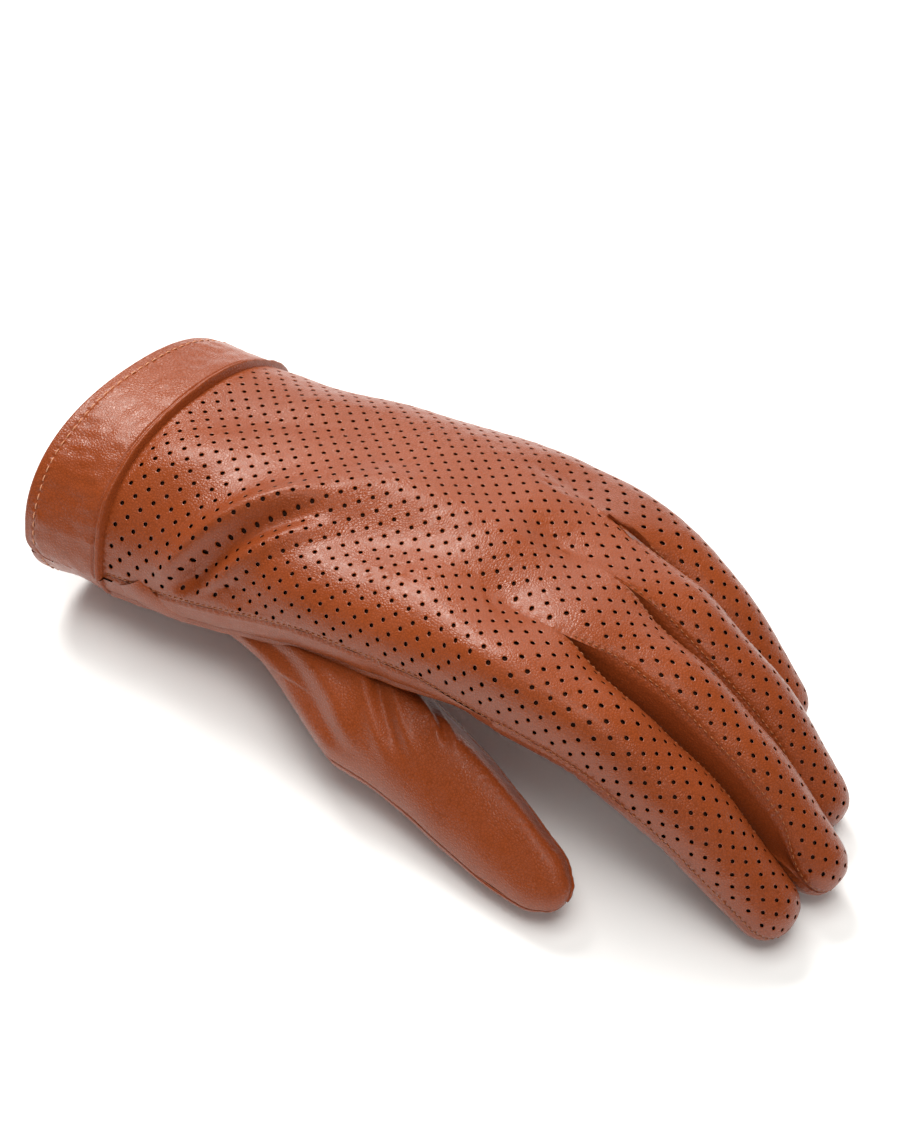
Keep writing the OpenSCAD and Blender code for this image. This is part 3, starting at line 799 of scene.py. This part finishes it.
BACK_SPOTS = [
    (60, -19, 22, 6, 2.6, 42),      # ridge above the diagonal fold
    (88, -4, 24, 7, 1.6, 8),        # line of the middle finger's bone
    (82, -21, 20, 8, -2.2, 18),     # hollow below it
    (118, -33, 20, 8, 2.8, 0),      # index knuckle
    (32, -17, 12, 9, 2.0, 40),      # fullness beside the cuff
    (52, -45, 15, 8, -1.6, 30),     # hollow below the fold
    (47, 6, 22, 6, -1.0, 25),
    (112, -16, 14, 5, -1.0, 10),    # hollows running back from the webs
    (116, 4, 10, 4, -0.7, 0),
    (110, 22, 10, 4, -0.7, -20),
    (148, -33, 20, 7, 0.9, 0),
]
BACK_LINES = [
    (36, -56, 70, -16, 3.0, 2.8, 2.8),
    (44, -55, 60, -46, 1.0, 0.9, 0.35),
    (43, -52, 56, -42, 1.0, 0.9, 0.40),
    (41, -56, 50, -59, 0.5, 0.8, 0.30),
    (46, -58, 64, -52, 0.5, 0.8, 0.22),
    (119, -22, 108, -17, 0.6, 0.9, 0.14),
    (121, 3, 110, 6, 0.8, 1.0, 0.18),
    (121, 0, 111, -2, -0.6, 0.9, 0.16),
    (113, 20, 102, 18, 0.6, 1.0, 0.18),
    (113, 22, 104, 27, 0.6, 0.9, 0.16),
] + [(84 + 2.2 * k, -34 + 1.1 * k, 93 + 2.0 * k, -22 + 1.2 * k, 0.6, 0.5, 0.14) for k in range(8)]


def back_relief(x, v):
    d = bumps(x, v, BACK_SPOTS) + creases(x, v, BACK_LINES)
    return d + 0.55 * ripple(x, v, 26, 3) + 0.10 * ripple(x, v, 7, 5)


def dip(d, along):
    """A panel's edge turns down into its seam and puckers between the stitches; d is mm from the seam."""
    turn = (1 - np.clip(d / SEAM_MARGIN, 0, 1)) ** 2
    pucker = 0.10 * np.cos(2 * np.pi * along / STITCH) * np.exp(-((d - 0.6) / 0.5) ** 2)
    return -0.28 * turn + 0.10 * np.exp(-((d - 1.4) / 0.6) ** 2) + pucker


def slit_distance(x, v, k, v_edge):
    return np.hypot(v - v_edge, np.maximum(0, CROTCH_X[k] - x))


def hand_relief(x, v):
    d = np.minimum(v - hand_v(x, 0.0), hand_v(x, 1.0) - v)
    calm = smooth(np.minimum(d, (x - CUFF_X) * 1.5) / 6)
    for k in range(3):
        d = np.minimum(d, slit_distance(x, v, k, hand_v(x, FRACS[k + 1])))
    d = np.minimum(d, (x - CUFF_X) * 1.2)
    return back_relief(x, v) * calm + dip(np.maximum(d, 0), np.where(x < CUFF_X + 2, v, x))


def finger_relief(i):
    def f(x, v):
        half = lane_width(i, x) / 2
        d = 0 * x + 9
        calm = 1.0
        for s, k in ((-1, i - 1), (1, i)):
            e = LANE_C[i] + s * half
            d = np.minimum(d, np.abs(v - e) if k in (-1, 3) else slit_distance(x, v, k, e))
            calm = calm * (smooth(np.abs(v - e) / 6) if k in (-1, 3) else 1)
        return back_relief(x, v) * calm + dip(d, x)
    return f


def sewn_loop(parts):
    """Joins runs of outline points, each a list and whether it is a seam, into one closed outline."""
    pts, sewn = [], []
    for run, is_seam in parts:
        for a in run[:-1]:
            pts.append(a)
            sewn.append(is_seam)
    return pts, sewn


def hand_edge(share, x0, x1, n):
    return [(float(x), float(hand_v(x, share))) for x in np.linspace(x0, x1, n)]


def hand_outline():
    parts = [(hand_edge(0.0, CUFF_X, FRONT[0], 250), True)]
    for i in range(4):
        vs = [float(LANE_C[i] + q * LANE_W[i] / 2) for q in np.linspace(-1, 1, 17)]
        parts.append(([(FRONT[i], v) for v in vs], False))
        if i < 3 and FRONT[i] != FRONT[i + 1]:
            parts.append(([(float(x), vs[-1]) for x in np.linspace(FRONT[i], FRONT[i + 1], 9)], False))
    parts.append((hand_edge(1.0, FRONT[3], CUFF_X, 120), True))
    vs = np.linspace(hand_v(CUFF_X, 1.0), hand_v(CUFF_X, 0.0), 100)
    parts.append(([(CUFF_X, float(v)) for v in vs], True))
    return sewn_loop(parts)


def part_span(i, part, web=None):
    """Where finger i's part 0 root, 1 middle or 2 tip begins and ends."""
    starts = [FRONT[i] if web is None else web, *CUTS[i]]
    return starts[part], [*CUTS[i], FINGERS[ORDER[i]]["last"]][part]


def spaced(x0, x1, n, part):
    """n places from x0 to x1, closer together towards a fingertip."""
    t = np.linspace(0, 1, n)
    return x0 + (x1 - x0) * (1 - (1 - t) ** 1.7 if part == 2 else t)


def finger_outline(i, part):
    """Outline of the back of finger i's part 0 root, 1 middle, 2 tip."""
    x0, x1 = part_span(i, part)

    def place(x, q):
        return float(x), float(LANE_C[i] + q * lane_width(i, np.float64(x)) / 2)

    def cross(x):
        return [place(x, q) for q in np.linspace(-1, 1, 17)]

    n = int((x1 - x0) / 0.5)
    xs = spaced(x0, x1, n, part)
    parts = []
    for q, k in ((-1, i - 1), (1, i)):
        run = [(xs, True)]
        if part == 0 and 0 <= k <= 2 and CROTCH_X[k] > x0 + 0.2:
            cx = CROTCH_X[k]
            run = [(np.linspace(x0, cx, 6), False), (np.linspace(cx, x1, n), True)]
        if q > 0:
            run = [(r[::-1], w) for r, w in run[::-1]]
        parts.append([([place(x, q) for x in r], w) for r, w in run])
    far = [(cross(x1), False)] if part < 2 else []
    return sewn_loop(parts[0] + far + parts[1] + [(cross(x0)[::-1], False)])


# ---- finger joint lines, and fixing finger pieces where they stand


def joint_line(name, g0, g1):
    """Two places on a finger's centre line, as row-frame points in metres."""
    f = FINGERS[name]
    return [tuple(to_row(placed(f, centre(f, g))) / 1000) for g in (g0, g1)]


def web_end(i):
    """How far past the finger's root its webs reach."""
    r = FINGERS[ORDER[i]]["root"][0]
    return max(CROTCH_X[k] - r for k in (i - 1, i) if 0 <= k <= 2) + 0.2


def bend_finger(ob, i, part):
    """Fixes the piece of a finger's part where it stands; it works out the line of the joint at that part's
    near end.
    """
    name = ORDER[i]
    f = FINGERS[name]
    l1, l2, _ = f["L"]
    g1, g2 = (c - f["root"][0] for c in CUTS[i])
    if part == 0:
        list(joint_line(name, max(web_end(i), 1.0), g1))
        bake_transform(ob)
    elif part == 1:
        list(joint_line(name, g1, 2 * l1 - g1))
        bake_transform(ob)
    else:
        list(joint_line(name, g2, 2 * (l1 + l2) - g2))
        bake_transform(ob)


PARTS = ("root", "mid", "tip")
MATS = [M_PERF, M_HOLE_SHADE, M_IN, M_EDGE, M_THREAD]
TAN_MATS = [M_TAN, M_HOLE_SHADE, M_IN, M_EDGE]


def make_backs():
    p = Piece()
    outline, sewn = hand_outline()
    add_perforated(p, outline, sewn, hand_back, hand_relief)
    ob = p.build("back_of_hand", MATS)
    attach(ob, "hand")
    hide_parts("back_panel")
    for i, name in enumerate(ORDER):
        for part in range(3):
            outline, sewn = finger_outline(i, part)
            p = Piece()
            add_perforated(p, outline, sewn, finger_back(i), finger_relief(i))
            ob = p.build("%s_back_%s_leather" % (name, PARTS[part]), MATS)
            bend_finger(ob, i, part)
            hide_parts("%s_back_%s" % (name, PARTS[part]))


# ---- smooth leather skins


def skin(piece, fn, relief, xs, qs, mat=0, flip=False, back=False, ex=0.05, eq=0.004):
    """A grid of smooth leather, with its underside too where that shows; flip where fn faces inward."""
    X, Q = np.meshgrid(xs, qs, indexing="ij")
    out = -1 if flip else 1
    P, N = with_relief(fn, lambda a, b: out * relief(a, b), X, Q, ex, eq)
    N = out * N
    uv = np.stack([X, Q], -1)
    piece.grid(P, N, mat, uv, flip=flip)
    if back:
        piece.grid(P - THICK * N, -N, 2, uv, flip=not flip)


def finger_xs(i, part, web=None):
    x0, x1 = part_span(i, part, web)
    return spaced(x0, x1, int((x1 - x0) / 0.55) + 2, part)


def palm_relief(i):
    f = FINGERS[ORDER[i]]
    r = f["root"][0]
    joints = [r + f["L"][0], r + f["L"][0] + f["L"][1]]

    def h(x, q):
        w = lane_width(i, x)
        d = 0 * x + 9
        for s, k in ((-1, i - 1), (1, i)):
            along = np.abs(q - s) * w / 2
            d = np.minimum(d, along if k in (-1, 3) else np.hypot(along, np.maximum(0, CROTCH_X[k] - x)))
        out = dip(d, x) * 0.8
        for j in joints:
            fold = np.exp(-((x - j) / 7) ** 2)
            waves = 0.5 + 0.5 * np.cos((x - j + 0.7 * np.sin(2.3 * q)) * 2 * np.pi / 4.2)
            out = out - 0.35 * fold * waves * (1 - q * q)
        return out + 0.12 * ripple(x, q * 9, 9, 11 + i)
    return h


def hand_palm_relief(x, q_mm):
    d = creases(x, q_mm, [(100, -26, 62, 8, -6, 1.3, 0.9), (112, -4, 88, 24, 3, 1.3, 0.8),
                          (40, -6, 86, -16, 8, 1.4, 0.8)])
    return d + 0.5 * ripple(x, q_mm, 24, 21) + 0.12 * ripple(x, q_mm, 7, 22)


def make_palms():
    p = Piece()
    for i in range(4):
        rel = palm_relief(i)

        def relief(x, q, i=i, rel=rel):
            share = FRACS[i] + (q + 1) / 2 * (FRACS[i + 1] - FRACS[i])
            lo, hi = edge(x, -1, 0), edge(x, -1, 1)
            mm = (share - 0.5) * (hi - lo)
            edge_d = np.minimum(share, 1 - share) * (hi - lo)
            return (hand_palm_relief(x, mm) + rel(x, q) * smooth((x - 112) / 10)
                    + dip(edge_d, x) * 0.8 * fade((x - 112) / 10))

        skin(p, lambda x, q, i=i: lane(i, x, q, -1), relief, np.linspace(CUFF_X, FRONT[i], 170),
             np.linspace(-1, 1, 17), flip=True, back=True)
    ob = p.build("palm_leather", TAN_MATS)
    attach(ob, "hand")
    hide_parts("palm_panel")
    for i, name in enumerate(ORDER):
        for part in range(3):
            p = Piece()
            skin(p, lambda x, q, i=i: lane(i, x, q, -1), palm_relief(i), finger_xs(i, part),
                 np.linspace(-1, 1, 25), flip=True)
            ob = p.build("%s_palm_%s_leather" % (name, PARTS[part]), TAN_MATS)
            bend_finger(ob, i, part)
            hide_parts("%s_palm_%s" % (name, PARTS[part]))


def make_gussets():
    for i, name in enumerate(ORDER):
        for s, word in ((-1, "outer"), (1, "inner")):
            k = i if s > 0 else i - 1
            if k < 0 or k > 2:
                continue

            def relief(x, t, i=i, s=s):
                d = np.minimum(t, 1 - t) * 11
                tuck = -1.1 * smooth(-d / 0.6)      # the sewn edge turned in under the back and the palm
                cross = np.sin(x * 2 * np.pi / 2.3 + 1.3 * np.sin(t * 5)) * ripple(x, t * 9, 12, 31 + i)
                return dip(d, x) * 0.9 - 0.8 * np.sin(np.pi * np.clip(t, 0, 1)) + 0.10 * cross + tuck

            def past(x, t, k=k):
                """t carried a little past both seams, except at the web itself."""
                return t + (t - 0.5) * 0.12 * smooth((x - CROTCH_X[k] - 1) / 6)

            for part in range(3):
                p = Piece()
                xs = finger_xs(i, part, CROTCH_X[k])
                skin(p, lambda x, t, i=i, s=s: gusset(i, s, x, past(x, t)),
                     lambda x, t: relief(x, past(x, t)), xs, np.linspace(0, 1, 19), flip=s < 0)
                ob = p.build("%s_%s_gusset_%s_leather" % (name, word, PARTS[part]),
                             [M_GUS, M_HOLE_SHADE, M_IN, M_EDGE])
                bend_finger(ob, i, part)
                if part < 2:
                    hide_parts("%s_%s_gusset_%s" % (name, word, PARTS[part]))


# ---- thumb

WEB = dict(x=60.0, rx=27.0, turn=-30.5, rturn=29.0)
T_FAR = T_END + T_CAP * CAP_ARC - 0.2
THUMB_SEAM = 62.0       # degrees round the thumb where its two pieces meet
THUMB_TOP = 178.0       # degrees its upper piece covers
THUMB_CUT = 37.0        # where both pieces are divided for the joint
# two places at the thumb's root, hand frame
THUMB_STRETCH = ((81.2, -29.3, -17.0), (99.2, -32.5, -21.9))
THUMB_LINES = [(22, 22, 44, 46, 2, 2.0, 1.0), (34, 18, 50, 34, -2, 1.4, 0.6), (10, 30, 30, 54, 3, 2.4, 0.9)]


def thumb_ring(a):
    """Where the thumb is sewn into the side of the palm; a is the angle round the thumb."""
    ar = np.radians(a)
    x = WEB["x"] + WEB["rx"] * spow(np.cos(ar), 0.75)
    turn = np.radians(WEB["turn"] - WEB["rturn"] * spow(np.sin(ar), 0.75))
    return ring_point(x, -math.pi - turn, 0.5)


def thumb_start(a):
    c = np.cos(np.radians(a))
    return 6 + 16 * c


def thumb_skin(u, a):
    """u runs 0 at the sewn ring to 1 at the tip's end."""
    g0 = thumb_start(a)
    g = g0 + (T_FAR - g0) * u
    span = 23 - 11 * np.cos(np.radians(a))
    m = smooth((g - g0) / span)[..., None]
    R = thumb_ring(a)
    return R * (1 - m) + thumb_surface(g, a) * m


def turned(a, a0):
    """Degrees from a0 to a, the short way round."""
    return (a - a0 + 180) % 360 - 180


def thumb_relief(u, a):
    g0 = thumb_start(a)
    g = g0 + (T_FAR - g0) * u
    mm = g - g0
    d = 0.55 * np.exp(-((mm - 1.4) / 1.1) ** 2) - 0.5 * np.exp(-(mm / 0.7) ** 2)
    off, off2 = (turned(a, a0) * math.pi / 180 * 13 for a0 in (THUMB_SEAM, THUMB_SEAM + THUMB_TOP))
    lip = 0.5 * np.exp(-((off - 0.9) / 0.6) ** 2) - 0.45 * np.exp(-(off / 0.5) ** 2)
    d = d + lip * smooth((g - 24) / 14) - 0.45 * np.exp(-(off2 / 0.6) ** 2)
    side = np.exp(-(turned(a, 95) / 50) ** 2) * smooth((g - 34) / 12)
    d = d + side * 0.16 * np.sin(2 * np.pi * g / 2.6 + 0.09 * a) * ripple(g, a / 5, 8, 41)
    broad = 0.4 * ripple(g, a / 4, 20, 43) * smooth(mm / 10) * fade((g - 74) / 14)
    return d + broad + creases(g, a / 4, THUMB_LINES)


def make_thumb():
    for word, a0, a1 in (("top", THUMB_SEAM, THUMB_SEAM + THUMB_TOP),
                         ("under", THUMB_SEAM + THUMB_TOP - 360, THUMB_SEAM)):
        for part in (0, 1):
            def along(w, a, part=part):
                """Place along the whole thumb of a place w along its root or tip part."""
                share = (THUMB_CUT - thumb_start(a)) / (T_FAR - thumb_start(a))
                return w * share if part == 0 else share + (1 - share) * w

            t = np.linspace(0, 1, 110)
            p = Piece()
            skin(p, lambda w, a: thumb_skin(along(w, a), a), lambda w, a: thumb_relief(along(w, a), a),
                 t if part == 0 else 1 - (1 - t) ** 1.5, np.linspace(a0, a1, 90),
                 flip=True, ex=0.0008, eq=0.2)
            name = "thumb_%s_%s" % (word, ("root", "tip")[part])
            ob = p.build(name + "_leather", TAN_MATS)
            if part == 0:
                a, b = (tuple(to_row(np.array(c)) / 1000) for c in THUMB_STRETCH)
                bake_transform(ob)
            else:
                a, b = (tuple(to_row(placed(THUMB, centre(THUMB, g))) / 1000)
                        for g in (THUMB_CUT, 2 * THUMB["fold"] - THUMB_CUT))
                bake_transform(ob)
            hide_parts(name)


# ---- side strip, cuff and vent


def side_strip(x, t):
    """Between the back panel's side seam (t 0) and the palm's edge (t 1)."""
    a = lane(0, x, -1 + 0 * x, 1)
    b = lane(0, x, -1 + 0 * x, -1)
    top = -np.radians(seam_deg(x))
    low = -np.radians(palm_deg(x))
    r0, r1 = ring_point(x, top), ring_point(x, low)
    share = t[..., None]
    bulge = ring_point(x, top + (low - top) * t) - r0 * (1 - share) - r1 * share
    narrow = np.linalg.norm(b - a, axis=-1) / np.linalg.norm(r1 - r0, axis=-1)
    return a * (1 - share) + b * share + bulge * narrow[..., None]


def make_side_strip():
    p = Piece()

    def relief(x, t):
        d = np.minimum(t, 1 - t) * 14
        low = (1 - t) * 14
        rolled = 0.9 * np.exp(-((low - 2.2) / 1.1) ** 2) - 0.5 * np.exp(-((low - 4.4) / 0.45) ** 2)
        full = dip(d, x) * 0.9 + 0.35 * np.sin(np.pi * t) + 0.25 * ripple(x, t * 9, 11, 51) + rolled
        return full * fade((x - 98) / 20)

    skin(p, side_strip, relief, np.linspace(CUFF_X, 127.2, 200), np.linspace(0, 1, 25), flip=True, back=True)
    ob = p.build("side_strip_leather", TAN_MATS)
    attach(ob, "hand")
    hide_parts("side_strip")


CUFF_START = -106.0     # angle of the cuff's free end, beside the vent
CUFF_X0 = 0.6
CORNER = 5.0            # radius of the free end's corner
HEM = 2.3               # the hem stitches' distance from the edge
HEM_PITCH = 2.4


def cuff_off(t_deg):
    return 1.25 - 1.0 * smooth((t_deg - 205) / 30)


def cuff_x0(t_deg):
    d = (t_deg - CUFF_START) * 0.55
    e = np.clip(CORNER - d, 0, CORNER)
    return CUFF_X0 + CORNER - np.sqrt(np.maximum(CORNER ** 2 - e ** 2, 0))


def cuff_surface(u, t_deg):
    """u 0 inside the wrist, 1 at the wrist edge's outer turn, 2 at the seam with the back panel."""
    x0 = cuff_x0(t_deg)
    r = 0.75
    fold = np.clip(u, 0.8, 1.0)
    phi = (fold - 0.8) / 0.2 * math.pi
    inner = x0 + r + (0.8 - np.minimum(u, 0.8)) / 0.8 * 17
    outer = x0 + r + (np.maximum(u, 1.0) - 1) * (21.0 - x0 - r)
    x = np.where(u < 0.8, inner, np.where(u > 1, outer, x0 + r - r * np.sin(phi)))
    off = np.where(u < 0.8, -r, np.where(u > 1, r, -r * np.cos(phi)))
    return ring_point(x, np.radians(t_deg), cuff_off(t_deg) + off - r)


def cuff_relief(u, t_deg):
    x = np.maximum(u - 1, 0) * 20
    out = smooth((u - 1) * 12)
    hem = (-0.16 * np.exp(-((x - HEM) / 0.45) ** 2)
           + 0.10 * np.cos(2 * np.pi * t_deg * 0.6 / HEM_PITCH) * np.exp(-((x - HEM) / 0.9) ** 2))
    ridge = (0.45 * np.exp(-((x - 18.9) / 0.42) ** 2) - 0.28 * np.exp(-((x - 18.0) / 0.3) ** 2)
             - 2.0 * smooth((x - 19.2) / 0.8))
    lumps = 0.95 * ripple(x, t_deg * 0.6, 24, 61) + 0.16 * ripple(x, t_deg * 0.6, 6, 62)
    return out * (hem + ridge + lumps * smooth(x / 4))


def make_cuff():
    us = np.concatenate([np.linspace(0, 0.8, 20)[:-1], np.linspace(0.8, 1.0, 12)[:-1],
                         np.linspace(1.0, 2.0, 130)])
    tt = np.linspace(CUFF_START, 252, 380)
    U, T = np.meshgrid(us, tt, indexing="ij")
    P, N = with_relief(cuff_surface, cuff_relief, U, T, ex=0.004, eq=0.2)
    p = Piece()
    p.grid(P, N, 0, np.stack([U, T], -1))
    end_in = P[:, 0] - 0.9 * N[:, 0]
    E = np.stack([end_in, P[:, 0]], 1)
    side = np.cross(N[:, 0], np.gradient(P[:, 0], axis=0))
    p.grid(E, np.stack([side, side], 1), 3)
    ob = p.build("cuff_band_leather", [M_TAN, M_HOLE_SHADE, M_FACE, M_EDGE])
    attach(ob, "hand")
    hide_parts("cuff_band", "cuff_piping")

    p = Piece()
    T2, X2 = np.meshgrid(np.linspace(-180, 180, 181), np.linspace(3, 24, 24), indexing="ij")
    P2 = ring_point(X2, np.radians(T2), -1.7)
    C = ring_point(X2, np.radians(T2), -6.0)
    p.grid(P2, unit(C - P2), 0, np.stack([X2, T2], -1))
    ob = p.build("cuff_facing_leather", [M_FACE])
    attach(ob, "hand")
    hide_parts("cuff_facing")


# along a stitch: share of its length, thickness, height over the leather
STITCH_SHAPE = ((0.0, 0.25, -0.6), (0.16, 0.85, 0.1), (0.5, 1.0, 0.55), (0.84, 0.85, 0.1), (1.0, 0.25, -0.6))


def stitch_mesh(piece, a, b, n, size, mat=0):
    """One stitch: a short rounded thread from a to b, lying on a surface with normal n."""
    ax = (b - a) / np.linalg.norm(b - a)
    n = n - (n @ ax) * ax
    n = n / np.linalg.norm(n)
    sd = np.cross(ax, n)
    ring = np.radians(np.arange(0, 360, 60))
    off = np.cos(ring)[:, None] * sd + np.sin(ring)[:, None] * n
    v = [a + (b - a) * t + n * up * size + off * r * size for t, r, up in STITCH_SHAPE]
    m = [off + ax * (t - 0.5) * 1.2 for t, _, _ in STITCH_SHAPE]
    faces = [(r * 6 + k, (r + 1) * 6 + k, (r + 1) * 6 + (k + 1) % 6, r * 6 + (k + 1) % 6)
             for r in range(4) for k in range(6)]
    piece.add(v, m, faces + [tuple(range(6)), tuple(range(29, 23, -1))], mat)


def stitch_run(piece, P, N, pitch, length, size, mat=0):
    """Stitches along a path of points with normals."""
    d = np.concatenate([[0], np.cumsum(np.linalg.norm(np.diff(P, axis=0), axis=1))])
    for s0 in np.arange(pitch / 2, d[-1] - length, pitch):
        a, b, n = (np.array([np.interp(s, d, rows[:, j]) for j in range(3)])
                   for s, rows in ((s0, P), (s0 + length, P), (s0 + length / 2, N)))
        stitch_mesh(piece, a, b, n, size, mat)


def make_hem_thread():
    tt = np.linspace(CUFF_START + 5, 250, 500)
    u = 1 + HEM / 20 + 0 * tt
    P, N = with_relief(cuff_surface, cuff_relief, u, tt, ex=0.004, eq=0.2)
    p = Piece()
    stitch_run(p, P + 0.08 * N, N, HEM_PITCH, 1.7, 0.18)
    ob = p.build("hem_thread_stitches", [M_THREAD_LIGHT])
    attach(ob, "hand")
    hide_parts("hem_thread")


def make_seam_stitches():
    p = Piece()
    xs = np.linspace(CUFF_X + 0.5, FRONT[0], 500)
    for share, d in ((0.0, 0.55), (1.0, -0.55)):
        v = hand_v(xs, share) + d
        P, N = with_relief(hand_back, hand_relief, xs, v, eq=0.05)
        stitch_run(p, P + 0.06 * N, N, STITCH, 1.05, 0.17)
    ob = p.build("side_seam_stitches", [M_THREAD])
    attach(ob, "hand")
    for i, name in enumerate(ORDER):
        for part in range(3):
            p = Piece()
            xs = finger_xs(i, part)
            for q in (-1, 1):
                k = i - 1 if q < 0 else i
                run = xs[xs > CROTCH_X[k] + 2] if 0 <= k <= 2 else xs
                if len(run) < 8:
                    continue
                v = LANE_C[i] + q * (lane_width(i, run) / 2 - 0.55)
                P, N = with_relief(finger_back(i), finger_relief(i), run, v, eq=0.05)
                stitch_run(p, P + 0.06 * N, N, STITCH, 1.05, 0.16)
            ob = p.build("%s_stitches_%s" % (name, PARTS[part]), [M_THREAD])
            bend_finger(ob, i, part)


def make_vent_flap():
    p = Piece()
    start, end, half = np.array([27.5, 103.0]), np.array([44.0, 136.0]), 5.0    # x and degrees; mm

    def fn(s, t):
        wide = half * np.sqrt(np.clip(1 - s ** 6, 0, 1))
        x = start[0] + (end[0] - start[0]) * s + wide * t * 0.75
        low = start[1] + (end[1] - start[1]) * s - wide * t * 1.1
        return ring_point(x, -np.radians(low), 1.3 - 1.1 * t * t)

    def relief(s, t):
        return 0.2 * ripple(s * 18, t * 5, 10, 71) - 0.5 * smooth(1 - s / 0.15)

    skin(p, fn, relief, np.linspace(0, 0.99, 50), np.linspace(-1, 1, 25), back=True)
    ob = p.build("vent_flap_leather", TAN_MATS)
    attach(ob, "hand")
    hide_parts("vent_flap")


make_backs()
make_palms()
make_gussets()
make_thumb()
make_side_strip()
make_cuff()
make_hem_thread()
make_seam_stitches()
make_vent_flap()

# ---- the room

VIEW_AZ, VIEW_EL, VIEW_DIST = math.radians(22.94), math.radians(49.81), 0.9486
LOOK = Vector((-0.0139, 0.0272, 0.0096))
BACK = Vector((math.sin(VIEW_AZ) * math.cos(VIEW_EL), -math.cos(VIEW_AZ) * math.cos(VIEW_EL),
               math.sin(VIEW_EL)))
EYE = LOOK + BACK * VIEW_DIST
cam = bpy.data.cameras.new("camera")
cam.sensor_width = 36
cam.lens = 125.05
eye = bpy.data.objects.new("camera", cam)
eye.location = EYE
eye.rotation_euler = (LOOK - EYE).to_track_quat("-Z", "Y").to_euler()
bpy.context.scene.collection.objects.link(eye)
bpy.context.scene.camera = eye


WARM = (1.0, 0.96, 0.90)


def softbox(name, place, size, watts, shine=True):
    """A warm rectangular light that faces the glove; without shine it gives no highlight."""
    lamp = bpy.data.lights.new(name, "AREA")
    lamp.shape = "RECTANGLE"
    lamp.size, lamp.size_y = size
    lamp.energy = watts
    lamp.color = WARM
    ob = bpy.data.objects.new(name, lamp)
    ob.location = place
    ob.visible_glossy = shine
    ob.rotation_euler = (-Vector(place)).to_track_quat("-Z", "Y").to_euler()
    bpy.context.scene.collection.objects.link(ob)


softbox("key", (-0.45, 0.42, 0.80), (0.42, 0.42), 9.5)
softbox("back", (-0.15, 0.95, 0.5), (0.9, 0.35), 2.2)
softbox("ridge", (0.26, -0.32, 1.05), (0.3, 0.3), 1.8)
softbox("top", (0.1, -0.1, 1.1), (0.8, 0.8), 8, False)
softbox("fill", (0.7, -0.9, 0.6), (0.9, 0.7), 2.5, False)

world = bpy.data.worlds.new("studio")
world.use_nodes = True
world.node_tree.nodes["Background"].inputs["Color"].default_value = (1.0, 0.97, 0.93, 1)
world.node_tree.nodes["Background"].inputs["Strength"].default_value = 0.2
world.cycles_visibility.glossy = False
bpy.context.scene.world = world

FLOOR_Z = -0.0021
me = bpy.data.meshes.new("floor")
me.from_pydata([(-3, -3, FLOOR_Z), (3, -3, FLOOR_Z), (3, 3, FLOOR_Z), (-3, 3, FLOOR_Z)], [], [(0, 1, 2, 3)])
me.materials.append(plain("floor", (0.94, 0.97, 1.0), 0.9))
floor = bpy.data.objects.new("floor", me)
bpy.context.scene.collection.objects.link(floor)
bpy.context.scene.view_settings.view_transform = "Standard"
